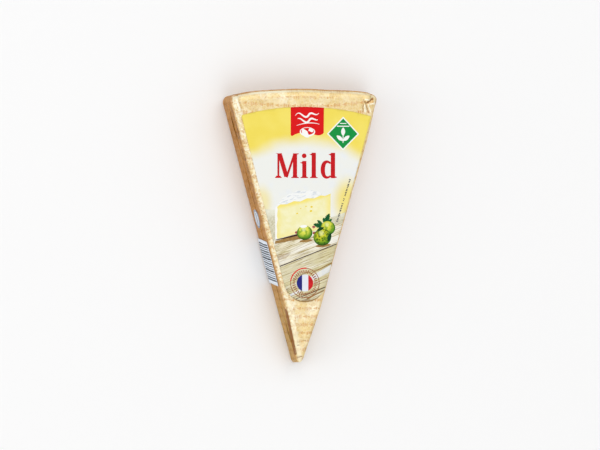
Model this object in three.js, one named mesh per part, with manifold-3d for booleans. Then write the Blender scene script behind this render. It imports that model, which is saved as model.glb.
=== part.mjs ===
// A wedge of soft white-rinded cheese in its retail wrapper, as four separate solids:
//   cheese_wedge  the cheese itself, cut from a round wheel, rind and paste in one piece
//   wrapper       one sheet folded round it, lapped along the left side and closed over the rind end
//   front_label   the printed label on the flat top
//   side_label    the price label on the left side, over the lap
// Millimetres, +Z up. The wedge lies flat, with its tip towards -Y and its rind towards +Y.
// Everything is laid out about the centre of the wheel that the wedge was cut from, and the
// finished pack is then moved so that the middle of its base is the origin.
import * as THREE from "three";
import { mergeVertices } from "three/addons/utils/BufferGeometryUtils.js";
import Module from "manifold-3d";

// The cheese.
const WHEEL_RADIUS = 175;
const WHEEL_HEIGHT = 25;
const WEDGE_ANGLE = 30.5; // degrees between the two cut faces
const RIM_RADIUS = 4; // rounding of the wheel's rim, top and bottom
const CORNER_RADIUS = 3; // in plan, where a cut face meets the rind
const TIP_RADIUS = 2.5; // in plan
const CUT_EDGE_RADIUS = 1.5; // along the top and bottom of the cut faces
const NOSE_LENGTH = 35; // the soft tip slopes down over this length
const NOSE_HEIGHT = 15; // what is left of the height at the tip

// The wrapper.
const SHEET_THICKNESS = 0.3;
const SHEET_CLEARANCE = 0.3; // between the sheet and the cheese, and between two plies of the sheet
const LAP_HEIGHT = 15.5; // the free edge of the lap, above the base
const LAP_OVERLAP = 7; // how far the two plies of the lap cover each other
const LAP_FOOT = 3; // the lap's outer ply leaves the wall this far above the base
const LAP_TIP_MARGIN = 6; // wall left bare at the tip end of the lap
const LAP_NOSE_MARGIN = 1; // at the least, from the lap's free edge up to the sloping nose
const LAP_RIND_MARGIN = 7; // and at its rind end
const LAP_SLIT = 0.5; // height of the gap under the edge of the inner ply
const FOLD_WIDTH = 1; // width of the strip by which a folded ply hangs on to the wall
const END_FLAP_DEPTH = 15; // the flap that closes the rind end reaches this far down it
const END_FLAP_MARGIN = 6; // wall left bare at each side of that flap

// The labels.
const LABEL_THICKNESS = 0.2;
const LABEL_CLEARANCE = 0.3;
const FRONT_LABEL_ANGLE = WEDGE_ANGLE - 1; // degrees between its two straight edges
const FRONT_LABEL_SETBACK = 2.5; // of its corner point from the wheel's centre, towards the rind
const FRONT_LABEL_SHIFT = 1; // towards +X, as it was stuck on
const FRONT_LABEL_CORNER_RADIUS = 1;
const FRONT_LABEL_RIM_GAP = 11.5; // from its long arc to the rind
const FRONT_LABEL_NOSE_GAP = 0.8; // from its round end to the start of the nose
const SIDE_LABEL_LENGTH = 29;
const SIDE_LABEL_FOOT = 1.5; // its lower edge, above the base
const SIDE_LABEL_TOP_GAP = 5.7; // from its upper edge to the top of the pack
const SIDE_LABEL_NOSE_GAP = 14; // from the start of the nose to its nearer end

// How finely curves are faceted.
const WHEEL_SEGMENTS = 240;
const ARC_STEPS = 8;
const RIND_STEPS = 20;
const EDGE_STEPS = 3;
const BEYOND = 5; // how far a cutting block runs past what it cuts

const wasm = await Module();
wasm.setup();

const halfAngle = THREE.MathUtils.degToRad(WEDGE_ANGLE / 2);
const sheetOutside = SHEET_CLEARANCE + SHEET_THICKNESS; // from the cheese to the sheet's outer face
const lapOutside = sheetOutside + SHEET_CLEARANCE + SHEET_THICKNESS; // to the outer ply's outer face
const tipY = TIP_RADIUS / Math.sin(halfAngle) - TIP_RADIUS; // where the rounded tip ends
const noseY = tipY + NOSE_LENGTH; // where the top starts to slope down to the tip
const noseRise = (WHEEL_HEIGHT - NOSE_HEIGHT) / NOSE_LENGTH;

function solidFromGeometry(geometry) {
  const bare = geometry.index ? geometry.toNonIndexed() : geometry.clone();
  bare.deleteAttribute("normal");
  bare.deleteAttribute("uv");
  const merged = mergeVertices(bare, 1e-4);
  return new wasm.Manifold(
    new wasm.Mesh({
      numProp: 3,
      vertProperties: merged.attributes.position.array,
      triVerts: new Uint32Array(merged.index.array),
    }),
  );
}

function geometryFromSolid(solid) {
  const mesh = solid.getMesh();
  const geometry = new THREE.BufferGeometry();
  geometry.setAttribute("position", new THREE.BufferAttribute(mesh.vertProperties, 3));
  geometry.setIndex(new THREE.BufferAttribute(mesh.triVerts, 1));
  return geometry;
}

// Points on an arc, from one angle to another, both ends included.
function arcPoints(centre, radius, from, to, steps) {
  return Array.from({ length: steps + 1 }, (_, i) => {
    const angle = from + ((to - from) * i) / steps;
    return new THREE.Vector2(
      centre.x + radius * Math.cos(angle),
      centre.y + radius * Math.sin(angle),
    );
  });
}

// A sector of a disc with rounded corners, its corner point at the origin and its arc towards +Y.
// grow moves the whole outline outwards: every arc keeps its centre.
function sectorOutline({ radius, half, tip, corner, grow = 0 }) {
  const bearing = half - Math.asin(corner / (radius - corner));
  const tipCentre = new THREE.Vector2(0, tip / Math.sin(half));
  const cornerCentre = (side) =>
    new THREE.Vector2(side * Math.sin(bearing), Math.cos(bearing)).multiplyScalar(radius - corner);
  const up = Math.PI / 2;
  return [
    ...arcPoints(tipCentre, tip + grow, Math.PI + half, 2 * Math.PI - half, ARC_STEPS),
    ...arcPoints(cornerCentre(1), corner + grow, -half, up - bearing, ARC_STEPS),
    ...arcPoints(new THREE.Vector2(), radius + grow, up - bearing, up + bearing, RIND_STEPS).slice(1, -1),
    ...arcPoints(cornerCentre(-1), corner + grow, up + bearing, Math.PI + half, ARC_STEPS),
  ];
}

// A prism on an outline, from one height to another, with its top and bottom edges rounded.
function roundedPrism(outline, bottom, top, edge) {
  const geometry = new THREE.ExtrudeGeometry(new THREE.Shape(outline), {
    depth: top - bottom - 2 * edge,
    bevelEnabled: edge > 0,
    bevelThickness: edge,
    bevelSize: edge,
    bevelOffset: -edge,
    bevelSegments: EDGE_STEPS,
  });
  return solidFromGeometry(geometry.translate(0, 0, bottom + edge));
}

// A solid of revolution about the wheel's axis, from a closed profile of [radius, height] points.
function turned(profile) {
  return solidFromGeometry(
    new THREE.LatheGeometry(profile, WHEEL_SEGMENTS).rotateX(Math.PI / 2),
  );
}

// The wheel with its round rim, grown outwards on every side.
function wheelSolid(grow) {
  const rim = RIM_RADIUS + grow;
  const outer = WHEEL_RADIUS + grow;
  const low = -grow;
  const high = WHEEL_HEIGHT + grow;
  const profile = [
    new THREE.Vector2(0, low),
    ...arcPoints(new THREE.Vector2(outer - rim, low + rim), rim, -Math.PI / 2, 0, ARC_STEPS),
    ...arcPoints(new THREE.Vector2(outer - rim, high - rim), rim, 0, Math.PI / 2, ARC_STEPS),
    new THREE.Vector2(0, high),
  ];
  return turned(profile);
}

// All that lies above the sloping nose, grown outwards with it.
function aboveNose(grow) {
  const size = 2 * WHEEL_RADIUS;
  const block = new THREE.BoxGeometry(size, size, size);
  block.translate(0, 0, size / 2 + grow);
  block.rotateX(Math.atan(noseRise));
  block.translate(0, noseY, WHEEL_HEIGHT);
  return solidFromGeometry(block);
}

// The wedge of cheese, or the space around it at an even distance.
function wedgeSolid(grow) {
  const outline = sectorOutline({
    radius: WHEEL_RADIUS,
    half: halfAngle,
    tip: TIP_RADIUS,
    corner: CORNER_RADIUS,
    grow,
  });
  return roundedPrism(outline, -grow, WHEEL_HEIGHT + grow, CUT_EDGE_RADIUS + grow)
    .intersect(wheelSolid(grow))
    .subtract(aboveNose(grow));
}

// Places a block that is described on the left side: x along the side from the wheel's centre
// towards the rind, y outwards from the cheese's cut face, z up from the cheese's base.
const leftSide = new THREE.Matrix4().makeBasis(
  new THREE.Vector3(-Math.sin(halfAngle), Math.cos(halfAngle), 0),
  new THREE.Vector3(-Math.cos(halfAngle), -Math.sin(halfAngle), 0),
  new THREE.Vector3(0, 0, 1),
);

function blockGeometry([x0, x1], [y0, y1], [z0, z1]) {
  return new THREE.BoxGeometry(x1 - x0, y1 - y0, z1 - z0).translate(
    (x0 + x1) / 2,
    (y0 + y1) / 2,
    (z0 + z1) / 2,
  );
}

function leftSideBlock(along, out, up) {
  return solidFromGeometry(blockGeometry(along, out, up).applyMatrix4(leftSide));
}

// The lap along the left side: the outer ply hangs on to the wall at its foot and covers a slit
// that parts the wall, which is the edge of the inner ply.
function addLap(shell) {
  const base = -sheetOutside;
  const edge = base + LAP_HEIGHT;
  const coveredFrom = (edge + LAP_NOSE_MARGIN - NOSE_HEIGHT) / noseRise;
  const start = tipY + Math.max(LAP_TIP_MARGIN, coveredFrom);
  const end = WHEEL_RADIUS - LAP_RIND_MARGIN;
  const foot = base + LAP_FOOT;
  const ply = [sheetOutside + SHEET_CLEARANCE, lapOutside];
  const slitTop = edge - LAP_OVERLAP;
  const outerPly = leftSideBlock([start, end], ply, [foot, edge]);
  const fold = leftSideBlock([start, end], [sheetOutside - SHEET_THICKNESS / 2, ply[1]], [foot, foot + FOLD_WIDTH]);
  const slit = leftSideBlock(
    [start + FOLD_WIDTH, end - FOLD_WIDTH],
    [SHEET_CLEARANCE - SHEET_THICKNESS, sheetOutside + SHEET_CLEARANCE / 2],
    [slitTop - LAP_SLIT, slitTop],
  );
  return shell.subtract(slit).add(outerPly).add(fold);
}

// The flap that closes the rind end: it comes over the rim and lies down on the rind.
function addEndFlap(shell) {
  const inner = WHEEL_RADIUS + sheetOutside + SHEET_CLEARANCE;
  const outer = inner + SHEET_THICKNESS;
  const high = WHEEL_HEIGHT - RIM_RADIUS;
  const ring = (r0, r1, z0, z1) =>
    turned([
      new THREE.Vector2(r0, z0),
      new THREE.Vector2(r1, z0),
      new THREE.Vector2(r1, z1),
      new THREE.Vector2(r0, z1),
      new THREE.Vector2(r0, z0),
    ]);
  const half = halfAngle - (CORNER_RADIUS + END_FLAP_MARGIN) / WHEEL_RADIUS;
  const reach = outer + BEYOND;
  const span = new THREE.Shape([
    new THREE.Vector2(0, 0),
    new THREE.Vector2(reach * Math.tan(half), reach),
    new THREE.Vector2(-reach * Math.tan(half), reach),
  ]);
  const slice = solidFromGeometry(
    new THREE.ExtrudeGeometry(span, { depth: WHEEL_HEIGHT, bevelEnabled: false }),
  );
  const flap = ring(inner, outer, high - END_FLAP_DEPTH, high);
  const fold = ring(inner - SHEET_CLEARANCE - SHEET_THICKNESS / 2, outer, high - FOLD_WIDTH, high);
  return shell.add(flap.add(fold).intersect(slice));
}

function wrapperSolid() {
  const shell = wedgeSolid(sheetOutside).subtract(wedgeSolid(SHEET_CLEARANCE));
  return addEndFlap(addLap(shell));
}

function frontLabelGeometry() {
  const half = THREE.MathUtils.degToRad(FRONT_LABEL_ANGLE / 2);
  const roundEnd = noseY + FRONT_LABEL_NOSE_GAP - FRONT_LABEL_SETBACK;
  const outline = sectorOutline({
    radius: WHEEL_RADIUS - FRONT_LABEL_RIM_GAP - FRONT_LABEL_SETBACK,
    half,
    tip: roundEnd / (1 / Math.sin(half) - 1),
    corner: FRONT_LABEL_CORNER_RADIUS,
  });
  return new THREE.ExtrudeGeometry(new THREE.Shape(outline), {
    depth: LABEL_THICKNESS,
    bevelEnabled: false,
  });
}

function namedMesh(name, geometry, material) {
  const mesh = new THREE.Mesh(geometry, material);
  mesh.name = name;
  return mesh;
}

const cheeseMaterial = new THREE.MeshStandardMaterial({ color: 0xf3e6bf, roughness: 0.6, metalness: 0 });
const wrapperMaterial = new THREE.MeshStandardMaterial({ color: 0xdcb878, roughness: 0.4, metalness: 0.3 });
const labelMaterial = new THREE.MeshStandardMaterial({ color: 0xf4e58a, roughness: 0.5, metalness: 0 });
const sideLabelMaterial = new THREE.MeshStandardMaterial({ color: 0xe6edf5, roughness: 0.6, metalness: 0 });

const pack = new THREE.Group();
pack.add(namedMesh("cheese_wedge", geometryFromSolid(wedgeSolid(0)), cheeseMaterial));
pack.add(namedMesh("wrapper", geometryFromSolid(wrapperSolid()), wrapperMaterial));

const frontLabel = namedMesh("front_label", frontLabelGeometry(), labelMaterial);
frontLabel.position.set(
  FRONT_LABEL_SHIFT,
  FRONT_LABEL_SETBACK,
  WHEEL_HEIGHT + sheetOutside + LABEL_CLEARANCE,
);
pack.add(frontLabel);

// The side label stands in a group turned on to the left side.
const sideLabelHeight = WHEEL_HEIGHT + 2 * sheetOutside - SIDE_LABEL_TOP_GAP - SIDE_LABEL_FOOT;
const sideLabel = namedMesh(
  "side_label",
  blockGeometry([0, SIDE_LABEL_LENGTH], [0, LABEL_THICKNESS], [0, sideLabelHeight]),
  sideLabelMaterial,
);
sideLabel.position.set(
  noseY + SIDE_LABEL_NOSE_GAP,
  lapOutside + LABEL_CLEARANCE,
  SIDE_LABEL_FOOT - sheetOutside,
);
const leftFace = new THREE.Group();
leftFace.applyMatrix4(leftSide);
leftFace.add(sideLabel);
pack.add(leftFace);

// The middle of the pack's base becomes the origin.
pack.updateMatrixWorld(true);
const box = new THREE.Box3().setFromObject(pack, true);
const middle = box.getCenter(new THREE.Vector3());
pack.position.set(-middle.x, -middle.y, -box.min.z);

export default pack;
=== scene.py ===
"""Looks of a wrapped wedge of soft cheese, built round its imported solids."""

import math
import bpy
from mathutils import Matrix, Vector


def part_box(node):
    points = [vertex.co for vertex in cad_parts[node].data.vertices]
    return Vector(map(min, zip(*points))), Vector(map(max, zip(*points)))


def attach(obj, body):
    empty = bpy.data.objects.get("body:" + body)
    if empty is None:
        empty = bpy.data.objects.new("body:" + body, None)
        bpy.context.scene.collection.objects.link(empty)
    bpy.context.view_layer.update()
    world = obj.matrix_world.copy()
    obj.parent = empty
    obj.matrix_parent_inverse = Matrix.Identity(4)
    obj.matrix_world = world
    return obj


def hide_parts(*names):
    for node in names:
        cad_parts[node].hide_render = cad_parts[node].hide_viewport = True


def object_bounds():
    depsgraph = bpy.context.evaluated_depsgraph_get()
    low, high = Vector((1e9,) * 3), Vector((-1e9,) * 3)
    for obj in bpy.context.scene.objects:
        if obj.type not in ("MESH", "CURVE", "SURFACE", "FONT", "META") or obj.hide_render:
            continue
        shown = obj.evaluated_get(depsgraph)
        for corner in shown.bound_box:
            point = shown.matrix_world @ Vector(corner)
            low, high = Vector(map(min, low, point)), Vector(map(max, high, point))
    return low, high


bl_info = {
    "name": "Wrapped Cheese Wedge",
    "version": (1, 0, 0),
    "blender": (4, 5, 0),
    "location": "3D View > Sidebar > Cheese",
    "description": "Builds the foil-paper wrapper, the labels and the cheese of a wrapped wedge",
    "category": "Add Mesh",
}

import bmesh
import bpy
import numpy as np
from bpy.props import FloatProperty, FloatVectorProperty, IntProperty, PointerProperty
from mathutils import Matrix, Vector, geometry, noise
from mathutils.bvhtree import BVHTree

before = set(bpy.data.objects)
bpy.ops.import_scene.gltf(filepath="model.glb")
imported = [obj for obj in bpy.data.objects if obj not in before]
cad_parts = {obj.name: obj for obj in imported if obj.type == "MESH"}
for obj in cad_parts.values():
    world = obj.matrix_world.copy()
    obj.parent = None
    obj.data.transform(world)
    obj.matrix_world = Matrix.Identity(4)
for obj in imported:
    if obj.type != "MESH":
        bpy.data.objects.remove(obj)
cad_low, cad_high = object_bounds()

MM = 0.001


# ---------------------------------------------------------------------------------------------
# Sizes and colours


def length(name, description, default):
    return FloatProperty(
        name=name,
        description=description,
        default=default * MM,
        unit="LENGTH",
        subtype="DISTANCE",
        precision=5,
    )


def colour(name, description, default):
    return FloatVectorProperty(
        name=name,
        description=description,
        default=default,
        size=3,
        min=0.0,
        max=1.0,
        subtype="COLOR",
    )


class WedgeSizes(bpy.types.PropertyGroup):
    """Sizes of the wedge and of the sheet that wraps it."""

    wheel_radius: length("Wheel radius", "Radius of the wheel the wedge is cut from", 175)
    wedge_angle: FloatProperty(
        name="Wedge angle",
        description="Angle between the two cut faces",
        default=math.radians(30.5),
        subtype="ANGLE",
    )
    sheet_offset: length("Sheet offset", "From the cheese to the outside of its wrapper", 0.6)
    sheet_thickness: length("Sheet thickness", "Thickness of the foil paper", 0.12)
    rim_radius: length("Rim radius", "Rounding of the wheel's rim", 4)
    edge_radius: length("Edge radius", "Rounding along the cut faces", 1.5)
    corner_radius: length("Corner radius", "Rounding in plan between cut face and rind", 3)
    tip_radius: length("Tip radius", "Rounding in plan of the tip", 2.5)
    nose_length: length("Nose length", "Length over which the tip slopes down", 35)
    nose_height: length("Nose height", "Height left at the tip", 15)
    lap_height: length("Lap height", "Free edge of the lap above the base", 15.5)
    flap_depth: length("Flap depth", "How far the closing flap comes down the rind", 17)
    crumple: length("Crumple", "Depth of the creases in the sheet", 0.30)
    crumple_seed: IntProperty(
        name="Crumple seed", description="Chooses the pattern of creases", default=4
    )


class LabelSizes(bpy.types.PropertyGroup):
    """Sizes of the two labels and of what is printed on them."""

    paper_thickness: length("Label thickness", "Thickness of the label paper", 0.1)
    paper_gap: length("Label gap", "From the wrapper to the back of a label", 0.04)
    grid: length("Mesh grid", "Spacing of the points that let the label bend", 2.4)
    ink_height: length("Ink height", "How far the separate ink marks stand on the paper", 0.02)
    bar_count: IntProperty(name="Bars", description="Number of bars on the side label", default=16)
    bar_seed: IntProperty(name="Bar seed", description="Chooses the widths of the bars", default=7)
    tick_count: IntProperty(
        name="Ring marks", description="Number of marks in the ring of the stamp", default=34
    )
    tick_seed: IntProperty(name="Ring seed", description="Chooses the ring's marks", default=3)


class PackColours(bpy.types.PropertyGroup):
    """Colours of the pack."""

    foil: colour("Foil paper", "Ground of the wrapper", (0.84, 0.645, 0.30))
    # The walls' ground: the same foil painted darker, as painted shade on the walls.
    foil_wall_shade: colour(
        "Foil paper, sides", "Ground of the wrapper on the walls", (0.50, 0.222, 0.038)
    )
    foil_print: colour("Wrapper print", "Rows of motifs on the wrapper", (0.72, 0.40, 0.14))
    label_yellow: colour("Label yellow", "Top and sides of the label", (0.90, 0.73, 0.11))
    label_white: colour("Label white", "Middle of the label", (0.87, 0.88, 0.84))
    red: colour("Red", "Badge and word", (0.72, 0.003, 0.005))
    green: colour("Green", "Diamond", (0.004, 0.275, 0.05))
    side_label: colour("Side label", "Ground of the side label", (0.80, 0.88, 0.97))
    floor: colour("Floor", "Studio floor", (0.96, 0.96, 0.96))


class StageSettings(bpy.types.PropertyGroup):
    """The camera and the light."""

    tilt: FloatProperty(
        name="Camera tilt",
        description="Angle of the camera from straight above, towards the left side",
        default=math.radians(13.9),
        subtype="ANGLE",
    )
    distance: length("Camera distance", "From the camera to the label", 2000)
    lens: FloatProperty(name="Lens", description="Focal length in millimetres", default=192.0)
    sky: FloatProperty(name="Sky light", description="Strength of the even light", default=0.64)
    key: FloatProperty(name="Key light", description="Power of each large light", default=15.5)


# ---------------------------------------------------------------------------------------------
# Materials


class Wire:
    """An output socket that Python's operators extend with Math nodes."""

    def __init__(self, finish, socket):
        self.finish = finish
        self.socket = socket

    def __add__(self, other):
        return self.finish.math("ADD", self, other)

    def __sub__(self, other):
        return self.finish.math("SUBTRACT", self, other)

    def __mul__(self, other):
        return self.finish.math("MULTIPLY", self, other)

    def __truediv__(self, other):
        return self.finish.math("DIVIDE", self, other)

    def __pow__(self, other):
        return self.finish.math("POWER", self, other)

    def __gt__(self, other):
        return self.finish.math("GREATER_THAN", self, other)

    def __lt__(self, other):
        return self.finish.math("LESS_THAN", self, other)

    def __rsub__(self, other):
        return self.finish.math("SUBTRACT", other, self)

    def __rtruediv__(self, other):
        return self.finish.math("DIVIDE", other, self)

    def __neg__(self):
        return self.finish.math("MULTIPLY", self, -1.0)

    def __abs__(self):
        return self.finish.math("ABSOLUTE", self)

    __radd__ = __add__
    __rmul__ = __mul__


class Finish:
    """A material under construction, on one Principled shader."""

    def __init__(self, name):
        self.material = bpy.data.materials.new(name)
        self.material.use_nodes = True
        self.tree = self.material.node_tree
        self.tree.nodes.clear()
        self.shader = self.tree.nodes.new("ShaderNodeBsdfPrincipled")
        output = self.tree.nodes.new("ShaderNodeOutputMaterial")
        self.tree.links.new(self.shader.outputs[0], output.inputs["Surface"])
        self.ground = None

    def coat(self, share, shade):
        """Lays a colour over the ground, by a share from 0 to 1."""
        self.ground = self.blend(share, self.ground, shade)

    def feed(self, socket, value):
        if isinstance(value, Wire):
            self.tree.links.new(value.socket, socket)
        elif isinstance(value, tuple) and len(value) == 3 and len(socket.default_value) == 4:
            socket.default_value = (*value, 1.0)
        else:
            socket.default_value = value

    def node(self, kind, settings=None, inputs=None, stops=None, output=0):
        """One node: its type, its settings, then the values or links of its sockets."""
        made = self.tree.nodes.new(kind)
        for key, value in (settings or {}).items():
            setattr(made, key, value)
        if stops:
            ramp = made.color_ramp
            while len(ramp.elements) < len(stops):
                ramp.elements.new(1.0)
            for element, (place, shade) in zip(ramp.elements, stops):
                element.position = place
                element.color = (*shade, 1.0)
        for key, value in (inputs or {}).items():
            self.feed(made.inputs[key], value)
        return Wire(self, made.outputs[output])

    def math(self, operation, *values):
        return self.node(
            "ShaderNodeMath", {"operation": operation}, dict(enumerate(values))
        )

    def vector(self, operation, *values, output=0):
        return self.node(
            "ShaderNodeVectorMath", {"operation": operation}, dict(enumerate(values)), output=output
        )

    def blend(self, factor, first, second, mode="MIX"):
        """The first colour where factor is 0 and the second where it is 1."""
        return self.node(
            "ShaderNodeMix",
            {"data_type": "RGBA", "blend_type": mode, "clamp_factor": True},
            {0: factor, 6: first, 7: second},
            output=2,
        )

    def step(self, value, low, high):
        """0 below low and 1 above high, smooth between."""
        return self.node(
            "ShaderNodeMapRange",
            {"interpolation_type": "SMOOTHSTEP", "clamp": True},
            {"Value": value, "From Min": low, "From Max": high},
        )

    def place(self):
        """The position on the piece, as a vector and as x, y and z, in millimetres."""
        raw = self.node("ShaderNodeTexCoord", output="Object")
        scaled = self.node(
            "ShaderNodeVectorMath", {"operation": "SCALE"}, {0: raw, "Scale": 1 / MM}
        )
        return scaled, *self.split(scaled)

    def split(self, vector):
        made = self.tree.nodes.new("ShaderNodeSeparateXYZ")
        self.tree.links.new(vector.socket, made.inputs[0])
        return tuple(Wire(self, made.outputs[i]) for i in range(3))

    def join(self, x, y, z=0.0):
        return self.node("ShaderNodeCombineXYZ", inputs={0: x, 1: y, 2: z})

    def cloud(self, vector, size, detail=2.0, rough=0.5, warp=0.0):
        """Soft noise from 0 to 1, whose lumps are about size across."""
        return self.node(
            "ShaderNodeTexNoise",
            {"noise_dimensions": "3D"},
            {
                "Vector": vector,
                "Scale": 1.0 / size,
                "Detail": detail,
                "Roughness": rough,
                "Distortion": warp,
            },
        )

    def cells(self, vector, size, feature="DISTANCE_TO_EDGE"):
        return self.node(
            "ShaderNodeTexVoronoi",
            {"feature": feature},
            {"Vector": vector, "Scale": 1.0 / size},
        )

    def facets(self, vector, size):
        """A value from 0 to 1 for each cell of a crumpled pattern, bent by finer noise."""
        scale = 1.0 / size
        noisy = self.node("ShaderNodeTexNoise", inputs={"Vector": vector, "Scale": scale}, output=1)
        bent = self.vector("ADD", vector, self.vector("MULTIPLY", noisy, (size, size, size)))
        made = self.node("ShaderNodeTexVoronoi", inputs={"Vector": bent, "Scale": scale}, output=1)
        return self.split(made)[0]

    def bump(self, height, strength, distance):
        """A bump of the given height in millimetres, feeding the shader's normal."""
        normal = self.node(
            "ShaderNodeBump",
            inputs={"Strength": strength, "Distance": distance * MM, "Height": height},
        )
        self.feed(self.shader.inputs["Normal"], normal)

    def surface(self, **sockets):
        """Sets or links the Principled shader's own sockets."""
        for key, value in sockets.items():
            self.feed(self.shader.inputs[key.replace("_", " ")], value)
        return self.material


def srgb(red, green, blue):
    """A colour given in display steps of 0 to 255, as linear light."""

    def linear(step):
        level = step / 255
        return level / 12.92 if level <= 0.04045 else ((level + 0.055) / 1.055) ** 2.4

    return linear(red), linear(green), linear(blue)


# ---------------------------------------------------------------------------------------------
# Mesh helpers


def mesh_piece(name, points, faces, materials, slots=None, smooth=True):
    """A new object at the origin with this mesh."""
    mesh = bpy.data.meshes.new(name)
    mesh.from_pydata([tuple(p) for p in points], [], faces)
    for material in materials:
        mesh.materials.append(material)
    if slots is not None:
        mesh.polygons.foreach_set("material_index", slots)
    mesh.polygons.foreach_set("use_smooth", [smooth] * len(mesh.polygons))
    mesh.update()
    piece = bpy.data.objects.new(name, mesh)
    bpy.context.scene.collection.objects.link(piece)
    return piece


def thicken(piece, thickness):
    """Gives a sheet its thickness, inwards from the face that shows."""
    solid = piece.modifiers.new("Thickness", "SOLIDIFY")
    solid.thickness = thickness
    solid.offset = -1.0
    solid.use_even_offset = False
    freeze(piece)


def freeze(piece):
    """Turns the evaluated piece into a plain mesh and removes its modifiers."""
    bpy.context.view_layer.update()
    graph = bpy.context.evaluated_depsgraph_get()
    made = bpy.data.meshes.new_from_object(piece.evaluated_get(graph))
    old = piece.data
    piece.modifiers.clear()
    piece.data = made
    made.name = old.name + "_final"
    bpy.data.meshes.remove(old)


def hand_over(piece, slot, *nodes):
    """The piece rides on the pack and stands for these solids."""
    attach(piece, "root")
    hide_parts(*nodes)


def unit_steps(count):
    return np.linspace(0.0, 1.0, count + 1)


# ---------------------------------------------------------------------------------------------
# The shape that the sheet is laid on. Lengths here are millimetres.

BEND_SOFTNESS = 1.2  # rounds the bend where the top starts to slope down to the tip

# How far the pack stands off a plain wedge: its rear end, its rear corners and its sides.
REAR_SWELL, RIGHT_SWELL, LEFT_SWELL = 0.5, 3.1, 1.6
RIGHT_LEAN, LEFT_LEAN = 1.9, 0.6
REAR_START, REAR_FULL = 148.0, 174.0
TIP_PINCH, TIP_DRAW, TIP_PEAK = 0.14, 1.7, 0.6

LAP_FOOT = 2.6
BASE_FLAP_DEPTH = 15.0
CHEESE_CLEARANCE = 0.24  # from the inside of the sheet to the cheese, at the least
WELD_GAP = 0.02
RIND_TONE = 0.92  # the wall share on the rind end, which gives it part of the walls' painted shade and keeps it apart from the cut faces


class WedgeShape:
    """The outside of the wrapped wedge, in polar form about the centre of its wheel."""

    def __init__(self, sizes):
        self.wheel = sizes.wheel_radius / MM
        self.half = sizes.wedge_angle / 2
        self.grow = sizes.sheet_offset / MM
        self.edge = sizes.edge_radius / MM + self.grow
        self.rim = sizes.rim_radius / MM + self.grow
        cheese_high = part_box("cheese_wedge")[1]
        self.centre_y = cheese_high.y / MM - self.wheel
        self.top = cheese_high.z / MM + self.grow
        self.outer = self.wheel + self.grow
        tip, corner = sizes.tip_radius / MM, sizes.corner_radius / MM
        self.tip_centre = tip / math.sin(self.half)
        self.tip_round = tip + self.grow
        self.tip_end = self.tip_centre - self.tip_round
        self.tip_meets = math.hypot(self.tip_centre * math.cos(self.half), self.grow)
        self.corner_centre = self.wheel - corner
        self.corner_round = corner + self.grow
        self.bearing = self.half - math.asin(corner / self.corner_centre)
        self.corner_meets = math.hypot(
            math.sqrt(self.corner_centre**2 - corner**2), self.grow
        )
        nose_length = sizes.nose_length / MM
        self.nose_y = self.tip_centre - tip + nose_length
        self.nose_rise = (cheese_high.z / MM - self.grow - sizes.nose_height / MM) / nose_length

    def half_angle(self, radius):
        """Angle from the midline to the outline, at a distance from the wheel's centre."""
        if radius <= self.tip_meets:
            far, small = self.tip_centre, self.tip_round
            start = 0.0
        elif radius >= self.corner_meets:
            far, small = self.corner_centre, self.corner_round
            start = self.bearing
        else:
            return self.half + math.asin(self.grow / radius)
        cosine = (radius**2 + far**2 - small**2) / (2 * radius * far)
        return start + math.acos(max(-1.0, min(1.0, cosine)))

    def top_at(self, y):
        """Height of the top over a point this far from the wheel's centre, along the midline."""
        slope = self.top - (self.nose_y - y) * self.nose_rise
        gap = self.top - slope
        return 0.5 * (self.top + slope - np.sqrt(gap**2 + BEND_SOFTNESS**2))

    def rim_drop(self, radius):
        """How far the round rim has fallen at this distance from the wheel's centre."""
        past = max(0.0, radius - (self.outer - self.rim))
        return self.rim - math.sqrt(max(0.0, self.rim**2 - past**2))

    def plan(self, radius, along):
        """Row-frame x and y of a point on an arc about the wheel's centre."""
        angle = along / radius
        return radius * np.sin(angle), self.centre_y + radius * np.cos(angle)

    def side_point(self, radius, out, z):
        """A point on the left wall, moved outwards."""
        angle = self.half_angle(radius)
        x, y = -radius * math.sin(angle), self.centre_y + radius * math.cos(angle)
        return x - out * math.cos(self.half), y - out * math.sin(self.half), z


def label_outline():
    """The front label's outline in millimetres, anticlockwise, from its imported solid."""
    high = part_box("front_label")[1].z
    found = {
        (round(v.co.x / MM, 4), round(v.co.y / MM, 4))
        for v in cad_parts["front_label"].data.vertices
        if v.co.z > high - 0.05 * MM
    }
    middle = np.mean(list(found), axis=0)
    return sorted(found, key=lambda p: math.atan2(p[1] - middle[1], p[0] - middle[0]))


def beyond_outline(points, outline):
    """How far each point lies outside a convex outline; below 0 inside it."""
    points = np.asarray(points)
    worst = np.full(len(points), -1e9)
    for a, b in zip(outline, outline[1:] + outline[:1]):
        edge = np.subtract(b, a)
        size = np.hypot(*edge)
        if size > 1e-6:
            out = (points[:, 0] - a[0]) * edge[1] - (points[:, 1] - a[1]) * edge[0]
            worst = np.maximum(worst, out / size)
    return worst


def smooth_step(value, low, high):
    t = np.clip((np.asarray(value, float) - low) / (high - low), 0.0, 1.0)
    return t * t * (3 - 2 * t)
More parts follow.
